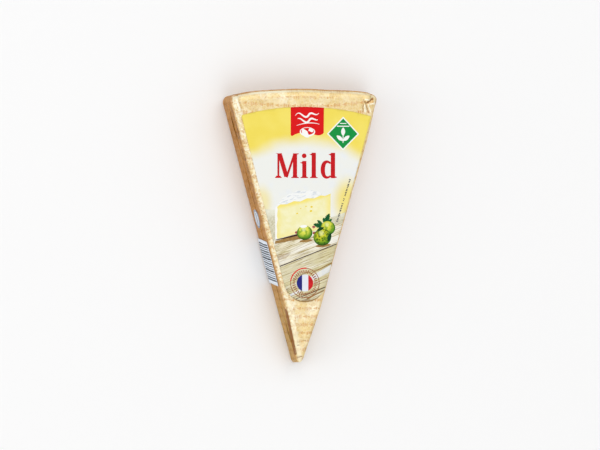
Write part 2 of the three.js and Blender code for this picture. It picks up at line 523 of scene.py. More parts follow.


# Pleats in the sheet: two ends in plan, the width of the fold, its depth (below 0 for a ridge)
# and its tint, the painted shade or highlight of the fold, from 1 for a dark fold to -1 for a
# shining one.
PLEATS = (
    ((38.2, 79.6), (40.0, 76.6), 0.55, 0.35, 0.8),
    ((38.6, 75.6), (38.2, 68.4), 0.50, 0.45, 0.8),
    ((40.1, 76.3), (42.2, 69.7), 0.45, 0.45, 0.9),
    ((41.2, 76.7), (44.8, 79.6), 0.60, 0.65, 1.0),
    ((42.6, 80.3), (45.4, 78.2), 0.40, 0.25, 0.8),
    ((42.4, 74.8), (43.6, 67.0), 0.35, 0.30, 0.5),
    ((39.3, 75.3), (39.9, 69.5), 0.60, -0.30, -0.9),
    ((41.7, 75.6), (43.4, 70.5), 0.55, -0.25, -0.8),
    ((39.8, 79.0), (42.3, 78.2), 0.60, -0.25, -0.9),
    ((43.0, 75.8), (45.8, 76.4), 0.55, -0.20, -0.7),
    ((-43.2, 78.4), (-41.0, 71.5), 0.80, -0.20, -0.8),
    ((-40.5, 81.0), (-32.0, 83.4), 0.45, 0.25, 0.35),
    ((-2.0, -73.5), (2.9, -72.6), 0.50, 0.35, 0.6),
    ((-2.2, -75.8), (0.8, -74.9), 0.45, 0.30, 0.6),
    ((-1.9, -83.4), (1.2, -82.8), 0.50, 0.30, 0.8),
    ((-10.9, -53.5), (-3.0, -81.0), 0.75, 0.35, 1.0),
)


def pleat_depth(x, y, z, top):
    """Depth of the pleats at points of the top, and the tint of their folds: painted shade or
    painted highlight.
    """
    depth, tint = np.zeros(len(x)), np.zeros(len(x))
    for (ax, ay), (bx, by), width, deep, shade in PLEATS:
        dx, dy = bx - ax, by - ay
        share = np.clip(((x - ax) * dx + (y - ay) * dy) / (dx * dx + dy * dy), 0.0, 1.0)
        away = np.hypot(x - ax - share * dx, y - ay - share * dy)
        fold = np.exp(-((away / width) ** 2)) * smooth_step(z - top, -5.0, -2.5)
        depth += deep * fold
        tint = np.where(np.abs(shade * fold) > np.abs(tint), shade * fold, tint)
    return depth, np.clip(tint, -1.0, 1.0)


def crumple_height(points, seed):
    """Creases of stiff foil paper: sharp ridges round shallow facets, from about -1 to 1."""
    shift = Vector((seed * 7.3, seed * 3.1, seed * 5.7))
    heights = []
    for p in points:
        at = Vector(p)
        swell = noise.noise(at * 0.05 + shift)
        wide = noise.voronoi(at * 0.16 + shift)[0]
        fine = noise.voronoi(at * 0.37 - shift)[0]
        heights.append(
            0.55 * swell - 0.75 * min(0.55, wide[1] - wide[0]) - 0.38 * min(0.5, fine[1] - fine[0])
        )
    return np.array(heights) + 0.25


def corner_swell(shape, x, y, z=0.0):
    """How far the full corners and the drawn tip move a point of the pack, in x and y."""
    radius = np.hypot(x, y - shape.centre_y)
    side = np.arctan2(x, y - shape.centre_y) / shape.half
    outwards = smooth_step(np.abs(side), 0.2, 1.0)
    back = np.where(side > 0, RIGHT_SWELL, LEFT_SWELL) * outwards + REAR_SWELL
    push_y = smooth_step(radius, REAR_START, REAR_FULL) * back
    rearward = np.clip((np.asarray(y) + 16.0) / 94.0, 0.0, 1.0)
    push_x = RIGHT_LEAN * smooth_step(side, 0.0, 1.0) * rearward
    rear_left = smooth_step(-side, 0.85, 1.0) * smooth_step(radius, REAR_START, REAR_FULL)
    push_x = push_x - LEFT_LEAN * rear_left
    point = 1.0 - smooth_step(radius, 4.0, 20.0)
    peak = 1.0 - smooth_step(radius, 6.3, 8.6)
    drawn = (TIP_DRAW - 0.05 * np.asarray(z)) * point + TIP_PEAK * peak
    return push_x - TIP_PINCH * point * np.asarray(x), push_y - drawn


class Sheets:
    """Collects the plies of the wrapper as grids of points with their place on the flat sheet."""

    def __init__(self):
        self.points, self.faces, self.flat, self.wall = [], [], [], []

    def add(self, grid, flat, wall, closed=False, turn=False):
        """A ply: rows of points, their places on the flat sheet and their wall shares."""
        first = len(self.points)
        rows, columns = len(grid), len(grid[0])
        for i in range(rows):
            self.points.extend(grid[i])
            self.wall.extend(wall[i])
        last = columns if closed else columns - 1
        for i in range(rows - 1):
            for j in range(last):
                k = (j + 1) % columns
                quad = [(i, j), (i, k), (i + 1, k), (i + 1, j)]
                spread = [(i, j), (i, j + 1), (i + 1, j + 1), (i + 1, j)]
                if turn:
                    quad.reverse()
                    spread.reverse()
                self.faces.append([first + r * columns + c for r, c in quad])
                self.flat.extend(flat[r][c] for r, c in spread)


def sleeve_rows(shape):
    """Distances from the wheel's centre, with the heights that close the rind end."""
    rows = [
        (shape.tip_end + (shape.tip_meets - shape.tip_end) * t * t, 0.0)
        for t in unit_steps(8)[:-1]
    ]
    straight = shape.outer - shape.rim
    folds = straight - 20.0
    for start, end, spacing in ((shape.tip_meets, folds, 0.95), (folds, straight, 0.6)):
        count = round((end - start) / spacing)
        rows += [(start + (end - start) * t, 0.0) for t in unit_steps(count)[:-1]]
    rows.append((straight, 0.0))
    rows += [
        (straight + shape.rim * math.sin(t * math.pi / 2), 0.0) for t in unit_steps(7)[1:]
    ]
    rows += [(shape.outer, t) for t in unit_steps(8)[1:]]
    return rows


def sleeve_loop(shape, radius, closing):
    """One loop round the wedge: points, flat places and wall shares."""
    # Steps across the top, round an edge and up a wall; the base takes each fourth of the top's.
    across, around, upright, coarser = 108, 4, 22, 4
    arm = radius * shape.half_angle(radius)
    drop = shape.rim_drop(radius)
    tall = float(shape.top_at(np.array(radius))) if radius < shape.outer else shape.top
    high, low = tall - drop, drop
    centre = 0.5 * (high + low)
    high += (centre - high) * closing
    low += (centre - low) * closing
    edge = min(shape.edge, arm, 0.5 * (high - low))
    u = np.linspace(-1.0, 1.0, across + 1)
    spread = (arm - edge) * (0.55 * u + 0.45 * np.sin(u * math.pi / 2))
    share = unit_steps(around)[1:]
    turn = share * math.pi / 2
    wall = unit_steps(upright)[1:]
    a = [*spread, *(arm - edge + edge * np.sin(turn))]
    z = [*np.full(across + 1, high), *(high - edge + edge * np.cos(turn))]
    tone = [*np.zeros(across + 1), *share]
    a += [arm] * upright
    z += list(high - edge - (high - low - 2 * edge) * wall)
    tone += [1.0] * upright
    a += list(arm - edge + edge * np.cos(turn))
    z += list(low + edge - edge * np.sin(turn))
    tone += [1.0] * around
    under = -spread[coarser::coarser]
    a += list(under)
    z += [low] * len(under)
    tone += [0.0] * len(under)
    a += list(-(arm - edge) - edge * np.sin(turn))
    z += list(low + edge - edge * np.cos(turn))
    tone += [1.0] * around
    a += [-arm] * upright
    z += list(low + edge + (high - low - 2 * edge) * wall)
    tone += [1.0] * upright
    a += list(-arm + edge - edge * np.cos(turn))[:-1]
    z += list(high - edge + edge * np.sin(turn))[:-1]
    tone += list(1.0 - share)[:-1]
    a, z = np.array(a), np.array(z)
    x, y = shape.plan(radius, a)
    upper = np.minimum(z, shape.top_at(y - shape.centre_y) - drop) if radius < 60 else z
    path = np.concatenate([[0.0], np.cumsum(np.hypot(np.diff(a), np.diff(z)))]) + a[0]
    down = (tall - drop - high) + drop * 0.6
    flat = [(s, yy + down) for s, yy in zip(path, y)]
    flat.append((path[-1] + edge * 0.4, y[0] + down))
    tone = np.maximum(np.array(tone), RIND_TONE * min(1.0, drop / shape.rim))
    return list(zip(x, y, upper)), flat, list(tone)


def add_sleeve(sheets, shape):
    """The sheet as it lies round the cheese, closed at the tip and behind the closing flaps."""
    loops = [sleeve_loop(shape, radius, closing) for radius, closing in sleeve_rows(shape)]
    grid, flat, wall = zip(*loops)
    sheets.add(grid, flat, wall, closed=True)


def add_lap(sheets, shape, height):
    """The outer ply of the lap: it leaves the wall at its foot and ends in a free edge."""
    steps, most_lift = 13, 1.1
    grid, flat, wall = [], [], []
    for radius in np.linspace(shape.tip_meets + 2.0, shape.outer - 5.0, 175):
        top = float(shape.top_at(np.array(radius * math.cos(shape.half)))) - 0.7
        wave = 0.35 * noise.noise(Vector((radius * 0.11, 3.0, 1.0)))
        edge = min(height + wave, top)
        lift = max(0.0, noise.noise(Vector((radius * 0.06, 9.0, 4.0)))) * 0.75
        row, places = [], []
        for t in unit_steps(steps):
            z = LAP_FOOT + (edge - LAP_FOOT) * t
            curl = lift * max(0.0, t - 0.8) ** 2 * 25
            out = -0.06 + 0.20 * float(smooth_step(t, 0.0, 0.35)) + curl
            row.append(shape.side_point(radius, min(out, most_lift), z))
            places.append((-200.0 + z, radius))
        grid.append(row)
        flat.append(places)
        wall.append([1.0] * (steps + 1))
    sheets.add(grid, flat, wall)


def add_end_flap(sheets, shape, depth, slant, lift, from_top):
    """A flap that comes over the rim and lies on the rind, narrower towards its free edge."""
    start = shape.outer - shape.rim - 1.0
    profile = [(start, 0.0), (start + 1.0, 0.0)]
    for t in unit_steps(6)[1:]:
        angle = t * math.pi / 2
        profile.append(
            (start + 1.0 + shape.rim * math.sin(angle), shape.rim * (1 - math.cos(angle)))
        )
    for t in unit_steps(14)[1:]:
        profile.append((shape.outer, shape.rim + (depth - shape.rim) * t))
    columns = 60
    grid, flat, wall = [], [], []
    path = 0.0
    for k, (radius, drop) in enumerate(profile):
        if k:
            path += math.hypot(radius - profile[k - 1][0], drop - profile[k - 1][1])
        away = -0.05 + lift * float(smooth_step(path, 0.5, 6.0))
        reach = radius + (away if drop > 0.3 else away * 0.4)
        z = drop - (away if drop < shape.rim else 0.0) * 0.7
        z = shape.top - z if from_top else z
        arm = radius * (shape.bearing - 0.004) - slant * max(0.0, drop - 0.6)
        row, places = [], []
        for u in np.linspace(-1.0, 1.0, columns + 1):
            ripple = 0.5 * noise.noise(Vector((u * 9.0, lift * 3.0, 2.0))) * (drop / depth) ** 3
            x, y = shape.plan(reach, np.array(arm * u))
            row.append((float(x), float(y), z - ripple if from_top else z + ripple))
            places.append((float(x), 80.0 + path))
        grid.append(row)
        flat.append(places)
        wall.append([RIND_TONE * float(smooth_step(drop, 0.0, shape.rim))] * (columns + 1))
    sheets.add(grid, flat, wall, turn=not from_top)


def build_wrapper(sizes, material):
    """The whole folded sheet as one mesh with thickness."""
    shape = WedgeShape(sizes)
    sheets = Sheets()
    add_sleeve(sheets, shape)
    add_lap(sheets, shape, sizes.lap_height / MM)
    add_end_flap(sheets, shape, BASE_FLAP_DEPTH, slant=0.55, lift=0.22, from_top=False)
    add_end_flap(sheets, shape, sizes.flap_depth / MM, slant=0.75, lift=0.50, from_top=True)
    piece = mesh_piece("wrapper_sheet", sheets.points, sheets.faces, [material])
    mesh = piece.data
    places = mesh.uv_layers.new(name="sheet")
    places.data.foreach_set("uv", np.array(sheets.flat, np.float32).ravel())
    tone = mesh.attributes.new("wall", "FLOAT", "POINT")
    tone.data.foreach_set("value", np.array(sheets.wall, np.float32))
    weld(mesh, WELD_GAP)
    crease(piece, shape, sizes)
    mesh.transform(Matrix.Scale(MM, 4))
    thicken(piece, sizes.sheet_thickness)
    return piece


def weld(mesh, gap):
    """Merges the points where the sheet closes on itself, and drops what has no area."""
    made = bmesh.new()
    made.from_mesh(mesh)
    bmesh.ops.remove_doubles(made, verts=made.verts, dist=gap)
    bmesh.ops.dissolve_degenerate(made, edges=made.edges, dist=gap / 4)
    made.to_mesh(mesh)
    made.free()
    mesh.update()


def keep_clear(points, least):
    """Moves the sheet's points off the cheese wherever a crease would cut into it."""
    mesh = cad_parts["cheese_wedge"].data
    corners = [v.co / MM for v in mesh.vertices]
    cheese = BVHTree.FromPolygons(corners, [tuple(face.vertices) for face in mesh.polygons])
    for i, point in enumerate(points):
        nearest, normal, _, _ = cheese.find_nearest(Vector(point))
        gap = (Vector(point) - nearest).dot(normal)
        if gap < least:
            points[i] += (least - gap) * np.array(normal)


def crease(piece, shape, sizes):
    """Moves the sheet's points along their normals into creases and pleats."""
    mesh = piece.data
    count = len(mesh.vertices)
    points, normals = np.zeros(count * 3), np.zeros(count * 3)
    mesh.vertices.foreach_get("co", points)
    mesh.vertex_normals.foreach_get("vector", normals)
    points, normals = points.reshape(-1, 3), normals.reshape(-1, 3)
    x, y, z = points.T
    outside = beyond_outline(points[:, :2], label_outline())
    on_top = smooth_step(normals[:, 2], 0.6, 0.9)
    bare = 1.0 - on_top * (1.0 - smooth_step(outside, 1.0, 3.2))
    under = smooth_step(-normals[:, 2], 0.6, 0.9)
    height = crumple_height(points, sizes.crumple_seed)
    strength = sizes.crumple / MM * bare * (1.0 - 0.55 * under)
    aside, back = corner_swell(shape, x, y, z)
    depth, tint = pleat_depth(x + aside, y + back, z, shape.top_at(y - shape.centre_y))
    push = strength * height - depth * bare
    floor_room = z + normals[:, 2] * push
    push = np.where((normals[:, 2] < -0.2) & (floor_room < 0.0), np.minimum(push, 0.0), push)
    points += normals * push[:, None]
    points[:, 2] = np.maximum(points[:, 2], 0.0)
    points[:, 0] += aside
    points[:, 1] += back
    keep_clear(points, sizes.sheet_thickness / MM + CHEESE_CLEARANCE)
    mesh.vertices.foreach_set("co", points.ravel())
    shown = 1.0 - on_top * (1.0 - smooth_step(outside, 0.2, 0.8))
    # The fold attribute carries the pleats' painted shade and painted highlight, left out under the
    # front label.
    fold = mesh.attributes.new("fold", "FLOAT", "POINT")
    fold.data.foreach_set("value", (tint * shown).astype(np.float32))
    mesh.update()


# ---------------------------------------------------------------------------------------------
# What is printed on the front label. Lengths are millimetres in the row frame's plan.


def oval(x, y, wide, tall=None, turn=0.0, count=28):
    """An oval of these half sizes, turned by some degrees."""
    tall = wide if tall is None else tall
    c, s = math.cos(math.radians(turn)), math.sin(math.radians(turn))
    ring = [(wide * math.cos(a), tall * math.sin(a)) for a in unit_steps(count)[:-1] * math.tau]
    return [(x + c * p - s * q, y + s * p + c * q) for p, q in ring]


def arc(x, y, radius, start, end, count=16):
    """Points on an arc, between two bearings in degrees."""
    angles = np.radians(np.linspace(start, end, count + 1))
    return [(x + radius * math.cos(a), y + radius * math.sin(a)) for a in angles]


def stroke(points, widths):
    """A band along a line of points, with a width at each."""
    points = [np.array(p, float) for p in points]
    left, right = [], []
    for i, p in enumerate(points):
        before, after = points[max(0, i - 1)], points[min(len(points) - 1, i + 1)]
        along = (after - before) / np.linalg.norm(after - before)
        across = np.array((-along[1], along[0])) * widths[i] / 2
        left.append(tuple(p + across))
        right.append(tuple(p - across))
    return left + right[::-1]


def line(a, b, wide, end=None):
    return stroke([a, b], [wide, wide if end is None else end])


def curve(a, b, c, d, count=14):
    """A cubic curve's points."""
    a, b, c, d = (np.array(p, float) for p in (a, b, c, d))
    return [
        tuple(a * (1 - t) ** 3 + 3 * b * t * (1 - t) ** 2 + 3 * c * t * t * (1 - t) + d * t**3)
        for t in unit_steps(count)
    ]


class Letter:
    """Strokes of a roman letter, on a baseline, from x onwards."""

    STEM, SERIF = 2.7, 0.5

    def __init__(self, x, base, cap, small):
        self.x, self.base, self.cap, self.small = x, base, cap, small
        self.shapes = []

    def foot(self, x, wide, at_top=False):
        """A bracketed slab across the end of a stem."""
        y = self.base + (self.cap if at_top else 0.0)
        up = -1.0 if at_top else 1.0
        half, stem = wide / 2, self.STEM / 2
        bracket = 0.9
        self.shapes.append(
            [
                (x - half, y),
                (x + half, y),
                (x + half, y + up * self.SERIF),
                (x + stem * 1.25, y + up * (self.SERIF + 0.16)),
                (x + stem, y + up * (self.SERIF + bracket)),
                (x - stem, y + up * (self.SERIF + bracket)),
                (x - stem * 1.25, y + up * (self.SERIF + 0.16)),
                (x - half, y + up * self.SERIF),
            ]
        )

    def stem(self, x, tall, wide=None):
        half = (wide or self.STEM) / 2
        self.shapes.append(
            [
                (x - half, self.base),
                (x + half, self.base),
                (x + half, self.base + tall),
                (x - half, self.base + tall),
            ]
        )

    def flag(self, x, tall):
        """The slanted serif at the top left of a small letter's stem."""
        y, half = self.base + tall, self.STEM / 2
        left, right = x - half, x + half
        self.shapes.append(
            [(left - 1.5, y - 1.15), (left, y - 1.75), (right, y - 1.0), (right, y), (x, y - 0.1)]
        )


def roman_m(x, base, cap, small):
    letter = Letter(x, base, cap, small)
    left, right = x + 2.2, x + 12.9
    low, top = (x + 7.3, base + 0.3), base + cap
    letter.stem(left, cap, 1.25)
    letter.stem(right, cap)
    letter.foot(left, 4.2)
    letter.foot(right, 4.9)
    inner = (low[0] + 1.0, low[1] + 2.2)
    letter.shapes.append(
        [(left - 2.0, top), (left + 1.9, top), inner, low, (left - 0.2, top - 0.5)]
    )
    letter.shapes.append(line((left + 0.75, top - 0.2), (low[0] + 0.1, low[1] + 0.6), 2.8))
    letter.shapes.append(line((right - 0.3, top - 0.1), (low[0] + 0.2, low[1] + 0.1), 1.4))
    serif = [(right - 1.2, top), (right + 2.4, top), (right + 2.4, top - 0.42)]
    letter.shapes.append([*serif, (right, top - 1.2), (right - 1.2, top - 0.6)])
    return letter.shapes, 15.6


def roman_i(x, base, cap, small):
    letter = Letter(x, base, cap, small)
    middle = x + 2.7
    letter.stem(middle, small)
    letter.foot(middle, 4.9)
    letter.flag(middle, small)
    letter.shapes.append(oval(middle - 0.1, base + cap - 1.5, 1.5))
    return letter.shapes, 5.4


def roman_l(x, base, cap, small):
    letter = Letter(x, base, cap, small)
    middle = x + 2.7
    letter.stem(middle, cap + 0.5)
    letter.foot(middle, 4.9)
    letter.flag(middle, cap + 0.5)
    return letter.shapes, 5.5


def roman_d(x, base, cap, small):
    letter = Letter(x, base, cap, small)
    right = x + 8.5
    letter.stem(right, cap + 0.5)
    letter.flag(right, cap + 0.5)
    tail = [(right, base), (right + 2.4, base + 0.35), (right + 2.4, base + 0.8)]
    letter.shapes.append([*tail, (right + 1.1, base + 1.3), (right, base + 1.3)])
    middle_y = base + small / 2
    wide, tall = 4.1, small / 2
    bowl, widths = [], []
    for t in unit_steps(26):
        angle = math.radians(52 + t * 256)
        thick = 1.05 + 1.8 * math.sin(math.radians(18 + t * 150)) ** 2
        run = x + 4.9 + (wide - thick / 2) * math.cos(angle)
        bowl.append((run, middle_y + (tall - 0.42) * math.sin(angle)))
        widths.append(thick * 0.95)
    letter.shapes.append(stroke(bowl, widths))
    letter.shapes.append(line((x + 6.6, base + small - 1.1), (right, base + small - 1.6), 0.8))
    letter.shapes.append(line((x + 6.9, base + 0.8), (right, base + 1.6), 0.8))
    return letter.shapes, 11.0


def word_shapes(x, base, cap, small):
    """The word "Mild", which only says what kind of cheese it is."""
    shapes = []
    for letter in (roman_m, roman_i, roman_l, roman_d):
        made, wide = letter(x, base, cap, small)
        shapes += made
        x += wide + 0.6
    return shapes


def badge_shapes():
    """The red badge: arched above, waved below, with a cut wheel of cheese and two flourishes."""
    top = arc(1.8, -100.0, 172.9, 93.4, 86.4, 8)
    low = curve((12.5, 57.2), (11.2, 55.2), (8.2, 55.4), (6.4, 56.2), 6)
    wave = curve((6.4, 56.2), (2.2, 58.0), (-3.4, 57.4), (-6.6, 55.6), 8)
    end = curve((-6.6, 55.6), (-7.8, 54.7), (-8.6, 55.2), (-8.5, 56.4), 4)
    badge = top + [(12.6, 72.2)] + low + wave[1:] + end[1:]
    swirl = curve((-5.4, 67.0), (-2.6, 71.6), (0.4, 63.4), (3.0, 67.2))
    swirl += curve((3.0, 67.2), (5.0, 70.6), (7.4, 65.6), (9.4, 68.6))[1:]
    under = curve((-4.6, 61.2), (0.0, 62.8), (6.0, 63.4), (9.8, 62.0))
    taper = [0.25 + 0.85 * math.sin(math.pi * t) for t in np.linspace(0, 1, len(swirl))]
    lower = [(x + 0.3, y - 3.1) for x, y in swirl[2:-2]]
    slice_arc = np.radians(np.linspace(-40, 80, 8))
    small_slice = [(2.9 + 3.2 * math.cos(a), 58.3 + 1.5 * math.sin(a)) for a in slice_arc]
    return {
        "badge": [badge],
        "white": [
            stroke(swirl, taper),
            stroke(lower, taper[2:-2]),
            stroke(under, [0.2 + 0.3 * math.sin(math.pi * t) for t in unit_steps(14)]),
            oval(2.3, 57.6, 4.9, 2.7),
        ],
        "badge_over": [oval(2.3, 57.9, 4.2, 2.05)],
        "white_over": [
            [(2.3, 57.9), *arc(2.3, 57.9, 3.6, 150, 290, 10)],
            [(2.9, 58.3), *small_slice],
        ],
    }


def sprig(x, y, size):
    """Three leaves on a stalk."""
    shapes = [line((x, y - size), (x, y + 0.2 * size), 0.5)]
    shapes.append(leaf(x, y - 0.1 * size, 90, size * 1.15, size * 0.28))
    for side in (-1, 1):
        shapes.append(leaf(x, y - 0.75 * size, 90 - side * 52, size * 1.15, size * 0.25))
    return shapes


def grown(x, y, bearing, half):
    """A leaf shape from half of its edge, growing from a point."""
    c, s = math.cos(math.radians(bearing)), math.sin(math.radians(bearing))
    edge = half + [(p, -q) for p, q in half[-2:0:-1]]
    return [(x + c * p - s * q, y + s * p + c * q) for p, q in edge]


def leaf(x, y, bearing, size, wide):
    """A pointed leaf."""
    half = [(t * size, wide * math.sin(math.pi * t) ** 0.8) for t in unit_steps(8)]
    return grown(x, y, bearing, half)


def jagged(x, y, bearing, size, wide):
    """A leaf with a toothed edge."""
    half = [
        (t * size, wide * math.sin(math.pi * t) ** 0.7 * (1.0 if k % 2 else 0.62) + 0.02)
        for k, t in enumerate(unit_steps(14))
    ]
    return grown(x, y, bearing, half)


def diamond(x, y, reach):
    return [(x + reach, y), (x, y + reach), (x - reach, y), (x, y - reach)]


PLANK_TILT = math.radians(20.9)
STAMP_X, STAMP_Y = 0.7, -36.4


def draw_cheese(lay):
    """The wall and the boards behind, and the cut cheese that stands on them."""
    lay("wall", [(-30, 9.5), (-17.0, 9.5), (-17.0, -12), (-30, -12)])
    lay("wall", [(16.6, 4.5), (30, 9.0), (30, -10), (16.6, -10)])
    horizon = [(-30, -12.2), (-4.2, -5.2), (6, -3.0), (14, -1.0), (30, 2.6)]
    lay("planks", [*horizon, (30, -60), (-30, -60)])
    back = curve((-17.6, 11.2), (-13.5, 20.5), (2.0, 25.0), (13.5, 18.4), 22)
    lay("rind", [(x, y + 0.7 * math.sin(x * 2.3) * math.sin(x * 0.9)) for x, y in back])
    brow = [(-17.4, 10.9), (-15.2, 12.7), (-11.0, 12.8), (-6.4, 14.8), (-2.4, 14.5), (2.0, 16.6)]
    brow += [(6.6, 16.5), (10.6, 18.4), (13.4, 18.1), (16.9, 19.6)]
    lay("paste", brow + [(16.8, -2.0), (-4.2, -5.4), (-17.6, -9.0)])
    flank = curve((-17.2, 11.6), (-16.4, 5.0), (-17.9, -2.0), (-17.0, -9.0), 10)
    wavy = [(x + 0.25 * math.sin(y * 2.1), y) for x, y in flank]
    lay("white", [(-18.5, 10.6), *wavy, (-18.4, -9.5)])
    holes = [(4.9, 11.2, 0.75), (4.5, 8.6, 0.8), (1.3, 11.5, 0.45)]
    holes += [(-4.3, 7.1, 0.6), (-2.0, 10.2, 0.4)]
    lay("crumb", *[oval(x, y, r, r * 0.75, 12) for x, y, r in holes])


def draw_boards(lay):
    """Shadows, gaps and streaks on the boards."""
    lay("umber", [(-18.4, -10.2), (-4.2, -6.4), (1.0, -8.6), (-4.0, -9.2), (-18.6, -12.0)])
    under = [(-18.2, -9.3), (-11.0, -7.5), (-4.2, -5.7)]
    lay("shadow", [*under, (-4.2, -7.0), (-10.6, -8.3), (-18.2, -9.8)])
    lay("shadow", line((-20.5, -27.9), (24.0, -10.9), 0.62, 0.5))
    lay("gap", line((4.2, -34.2), (21.0, -25.2), 3.1, 3.7))
    lay("gap", line((-15.0, -46.6), (-2.0, -41.2), 1.3, 1.5))
    lay("umber", line((4.0, -30.8), (21.0, -22.4), 0.4, 0.9))
    lay("umber", line((2.0, -46.4), (18.0, -38.6), 0.9, 0.5))
    for k in range(5):
        start = (-22.0, -23.2 + k * 0.85)
        lay("umber", line(start, (-11.0 + k * 0.7, -20.6 + k * 0.75), 0.45, 0.2))
    lay("umber", line((6.0, -37.2), (19.0, -31.6), 0.5, 0.35))
    lay("shadow", line((-14.0, -49.8), (16.0, -38.2), 0.35, 0.5))
    fade = [0.1 + 0.7 * math.sin(math.pi * t) for t in unit_steps(18)]
    lay("umber", stroke(arc(1.0, -34.7, 13.4, 232, 322, 18), fade))


def draw_fruit(lay):
    """Leaves, berries and three small fruits."""
    lay("stem_green", jagged(12.2, -1.4, 164, 6.4, 1.7), jagged(12.0, -0.4, 136, 4.8, 1.2))
    lay("stem_green", jagged(13.2, 0.2, 67, 7.4, 1.9), jagged(14.4, 0.6, 42, 4.6, 1.2))
    lay("stem_green", jagged(13.4, 0.6, 106, 4.0, 1.1))
    lay("leaf_dark", line((12.2, -1.4), (7.0, 0.1), 0.35), line((13.2, 0.4), (15.8, 6.4), 0.35))
    berries = ((-4.8, -4.8), (6.3, -1.4), (6.6, -5.2), (17.9, -3.4))
    lay("berry", *[oval(x, y, 0.95, 0.8) for x, y in berries])
    lay("umber", oval(1.4, -10.0, 4.2, 0.9, 6), oval(12.4, -13.0, 5.0, 1.0, 6))
    lay("fruit_back", oval(15.3, -2.0, 4.7, 4.4))
    lay("fruit_left", oval(0.5, -5.0, 5.0, 4.5))
    lay("fruit_front", oval(11.8, -7.8, 5.7, 5.3))
    lay("leaf_dark", leaf(12.8, -1.6, 205, 5.2, 1.0), leaf(17.2, -5.2, 252, 5.6, 1.2))
    lay("white", oval(-0.2, -1.0, 2.3, 0.9, 4))


def draw_stamp(lay):
    """The round stamp: two rings and a disc in three bands."""
    for turn in (0, 180):
        lay("brown", stroke(arc(STAMP_X, STAMP_Y, 9.2, turn, turn + 180, 30), [0.45] * 31))
    lay("red", stroke(arc(STAMP_X, STAMP_Y, 9.25, 84, 172, 20), [0.7] * 21))
    disc = 5.3
    lay("navy", arc(STAMP_X, STAMP_Y, disc, 110, 250, 18))
    lay("disc_red", arc(STAMP_X, STAMP_Y, disc, -66, 66, 18))
    upper, lower = (arc(STAMP_X, STAMP_Y, disc, a, a + 44, 8) for a in (66, 250))
    lay("flag_white", upper + lower)


def draw_side_line(lay):
    """The row of grey dashes that stands for a line of small print."""
    dashes, left_out = 27, {11, 14}
    run = np.array((-8.1, -27.2)) / dashes
    for k in range(dashes):
        if k not in left_out:
            start = np.array((29.0, 28.6)) + run * k
            end = start + run * (0.66 + 0.2 * math.sin(k * 2.4))
            lay("grey", line(start, end, 0.9 + 0.25 * math.cos(k * 1.7)))


def draw_marks(lay):
    """The diamond, the badge and the word."""
    lay("white", diamond(24.4, 56.6, 9.9))
    lay("green", diamond(24.4, 56.6, 8.9))
    lay("white", *sprig(24.4, 55.8, 4.4))
    lay("white", line((20.6, 61.0), (28.2, 61.0), 0.55), line((22.4, 62.6), (26.4, 62.6), 0.45))
    badge = badge_shapes()
    lay("red", *badge["badge"])
    lay("white", *badge["white"])
    lay("red", *badge["badge_over"])
    lay("white", *badge["white_over"])
    lay("word_red", *word_shapes(-18.6, 29.2, 15.4, 10.7))


def front_print():
    """Every printed area in the order it is laid down: (ink, outline)."""
    laid = []

    def lay(ink, *shapes):
        laid.extend((ink, shape) for shape in shapes)

    for draw in (draw_cheese, draw_boards, draw_fruit, draw_stamp, draw_side_line, draw_marks):
        draw(lay)
    return laid


def label_swell(x, y):
    """How far the label lifts off flat, in millimetres: it bends a little with the cheese."""
    return 0.10 * np.sin(x * 0.085 + 0.6) * np.cos(y * 0.06) + 0.05 * np.sin(y * 0.17 + x * 0.11)


def clean_outline(points):
    """Drops points that repeat, and turns the outline anticlockwise."""
    kept = []
    for p in points:
        if not kept or math.hypot(p[0] - kept[-1][0], p[1] - kept[-1][1]) > 1e-3:
            kept.append((float(p[0]), float(p[1])))
    if math.hypot(kept[0][0] - kept[-1][0], kept[0][1] - kept[-1][1]) < 1e-3:
        kept.pop()
    around = zip(kept, kept[1:] + kept[:1])
    doubled_area = sum(a[0] * b[1] - b[0] * a[1] for a, b in around)
    return kept if doubled_area > 0 else kept[::-1]


def printed_sheet(outline, laid, spacing, inks):
    """A flat sheet cut into triangles along every printed edge, each with its ink."""
    points, loops = [], []
    for shape in [outline, *(shape for _, shape in laid)]:
        shape = clean_outline(shape)
        loops.append(list(range(len(points), len(points) + len(shape))))
        points.extend(shape)
    low, high = np.min(outline, axis=0), np.max(outline, axis=0)
    grid = [
        (x + (row % 2) * spacing / 2, y)
        for row, y in enumerate(np.arange(low[1], high[1], spacing * 0.87))
        for x in np.arange(low[0], high[0], spacing)
    ]
    inside = beyond_outline(grid, clean_outline(outline)) < -0.5
    points.extend(p for p, keep in zip(grid, inside) if keep)
    made, _, faces, _, _, covered = geometry.delaunay_2d_cdt(
        [Vector(p) for p in points], [], loops, 0, 1e-4, True
    )
    kept, slots = [], []
    for face, cover in zip(faces, covered):
        if 0 not in cover:
            continue
        top = max(cover)
        kept.append(list(face))
        slots.append(inks.index(laid[top - 1][0] if top else "ground"))
    return [tuple(p) for p in made], kept, slots


# ---------------------------------------------------------------------------------------------
# Finishes


WEDGE_LEAN = math.radians(15.25)  # half the wedge's angle
WHEEL_Y = -91.3  # the wheel's centre in the row frame, in millimetres


def row_print(f, u, v):
    """1 where small motifs are printed on the flat sheet, in rows: a wedge, a dash, a comb."""
    pitch, first_row, repeat = 5.5, 79.5, 10.6
    v = v + f.math("MINIMUM", v + 50.0, 0.0) * 0.07
    row = f.math("FLOOR", (v - first_row) / pitch + 0.5)
    across = v - first_row - row * pitch
    start = row * 4.3
    along = f.math("FLOORED_MODULO", u + start + 500.0, repeat)
    thin = abs(across)
    slice_mark = (thin < (along - 0.2) * 0.42) * (along < 2.9)
    dash = (thin < 0.40) * (along > 3.5) * (along < 4.7)
    marks = (thin < 1.25) * (along > 5.2) * (along < 10.1)
    comb = f.math("FLOORED_MODULO", along, 1.35) > 0.36
    tall = (thin < 0.80) + (f.cloud(f.join(along * 0.9, start), 1.0, 0.0) > 0.50)
    solid = f.math("MAXIMUM", slice_mark, dash)
    return f.math("MAXIMUM", solid, marks * comb * f.math("MINIMUM", tall, 1.0))


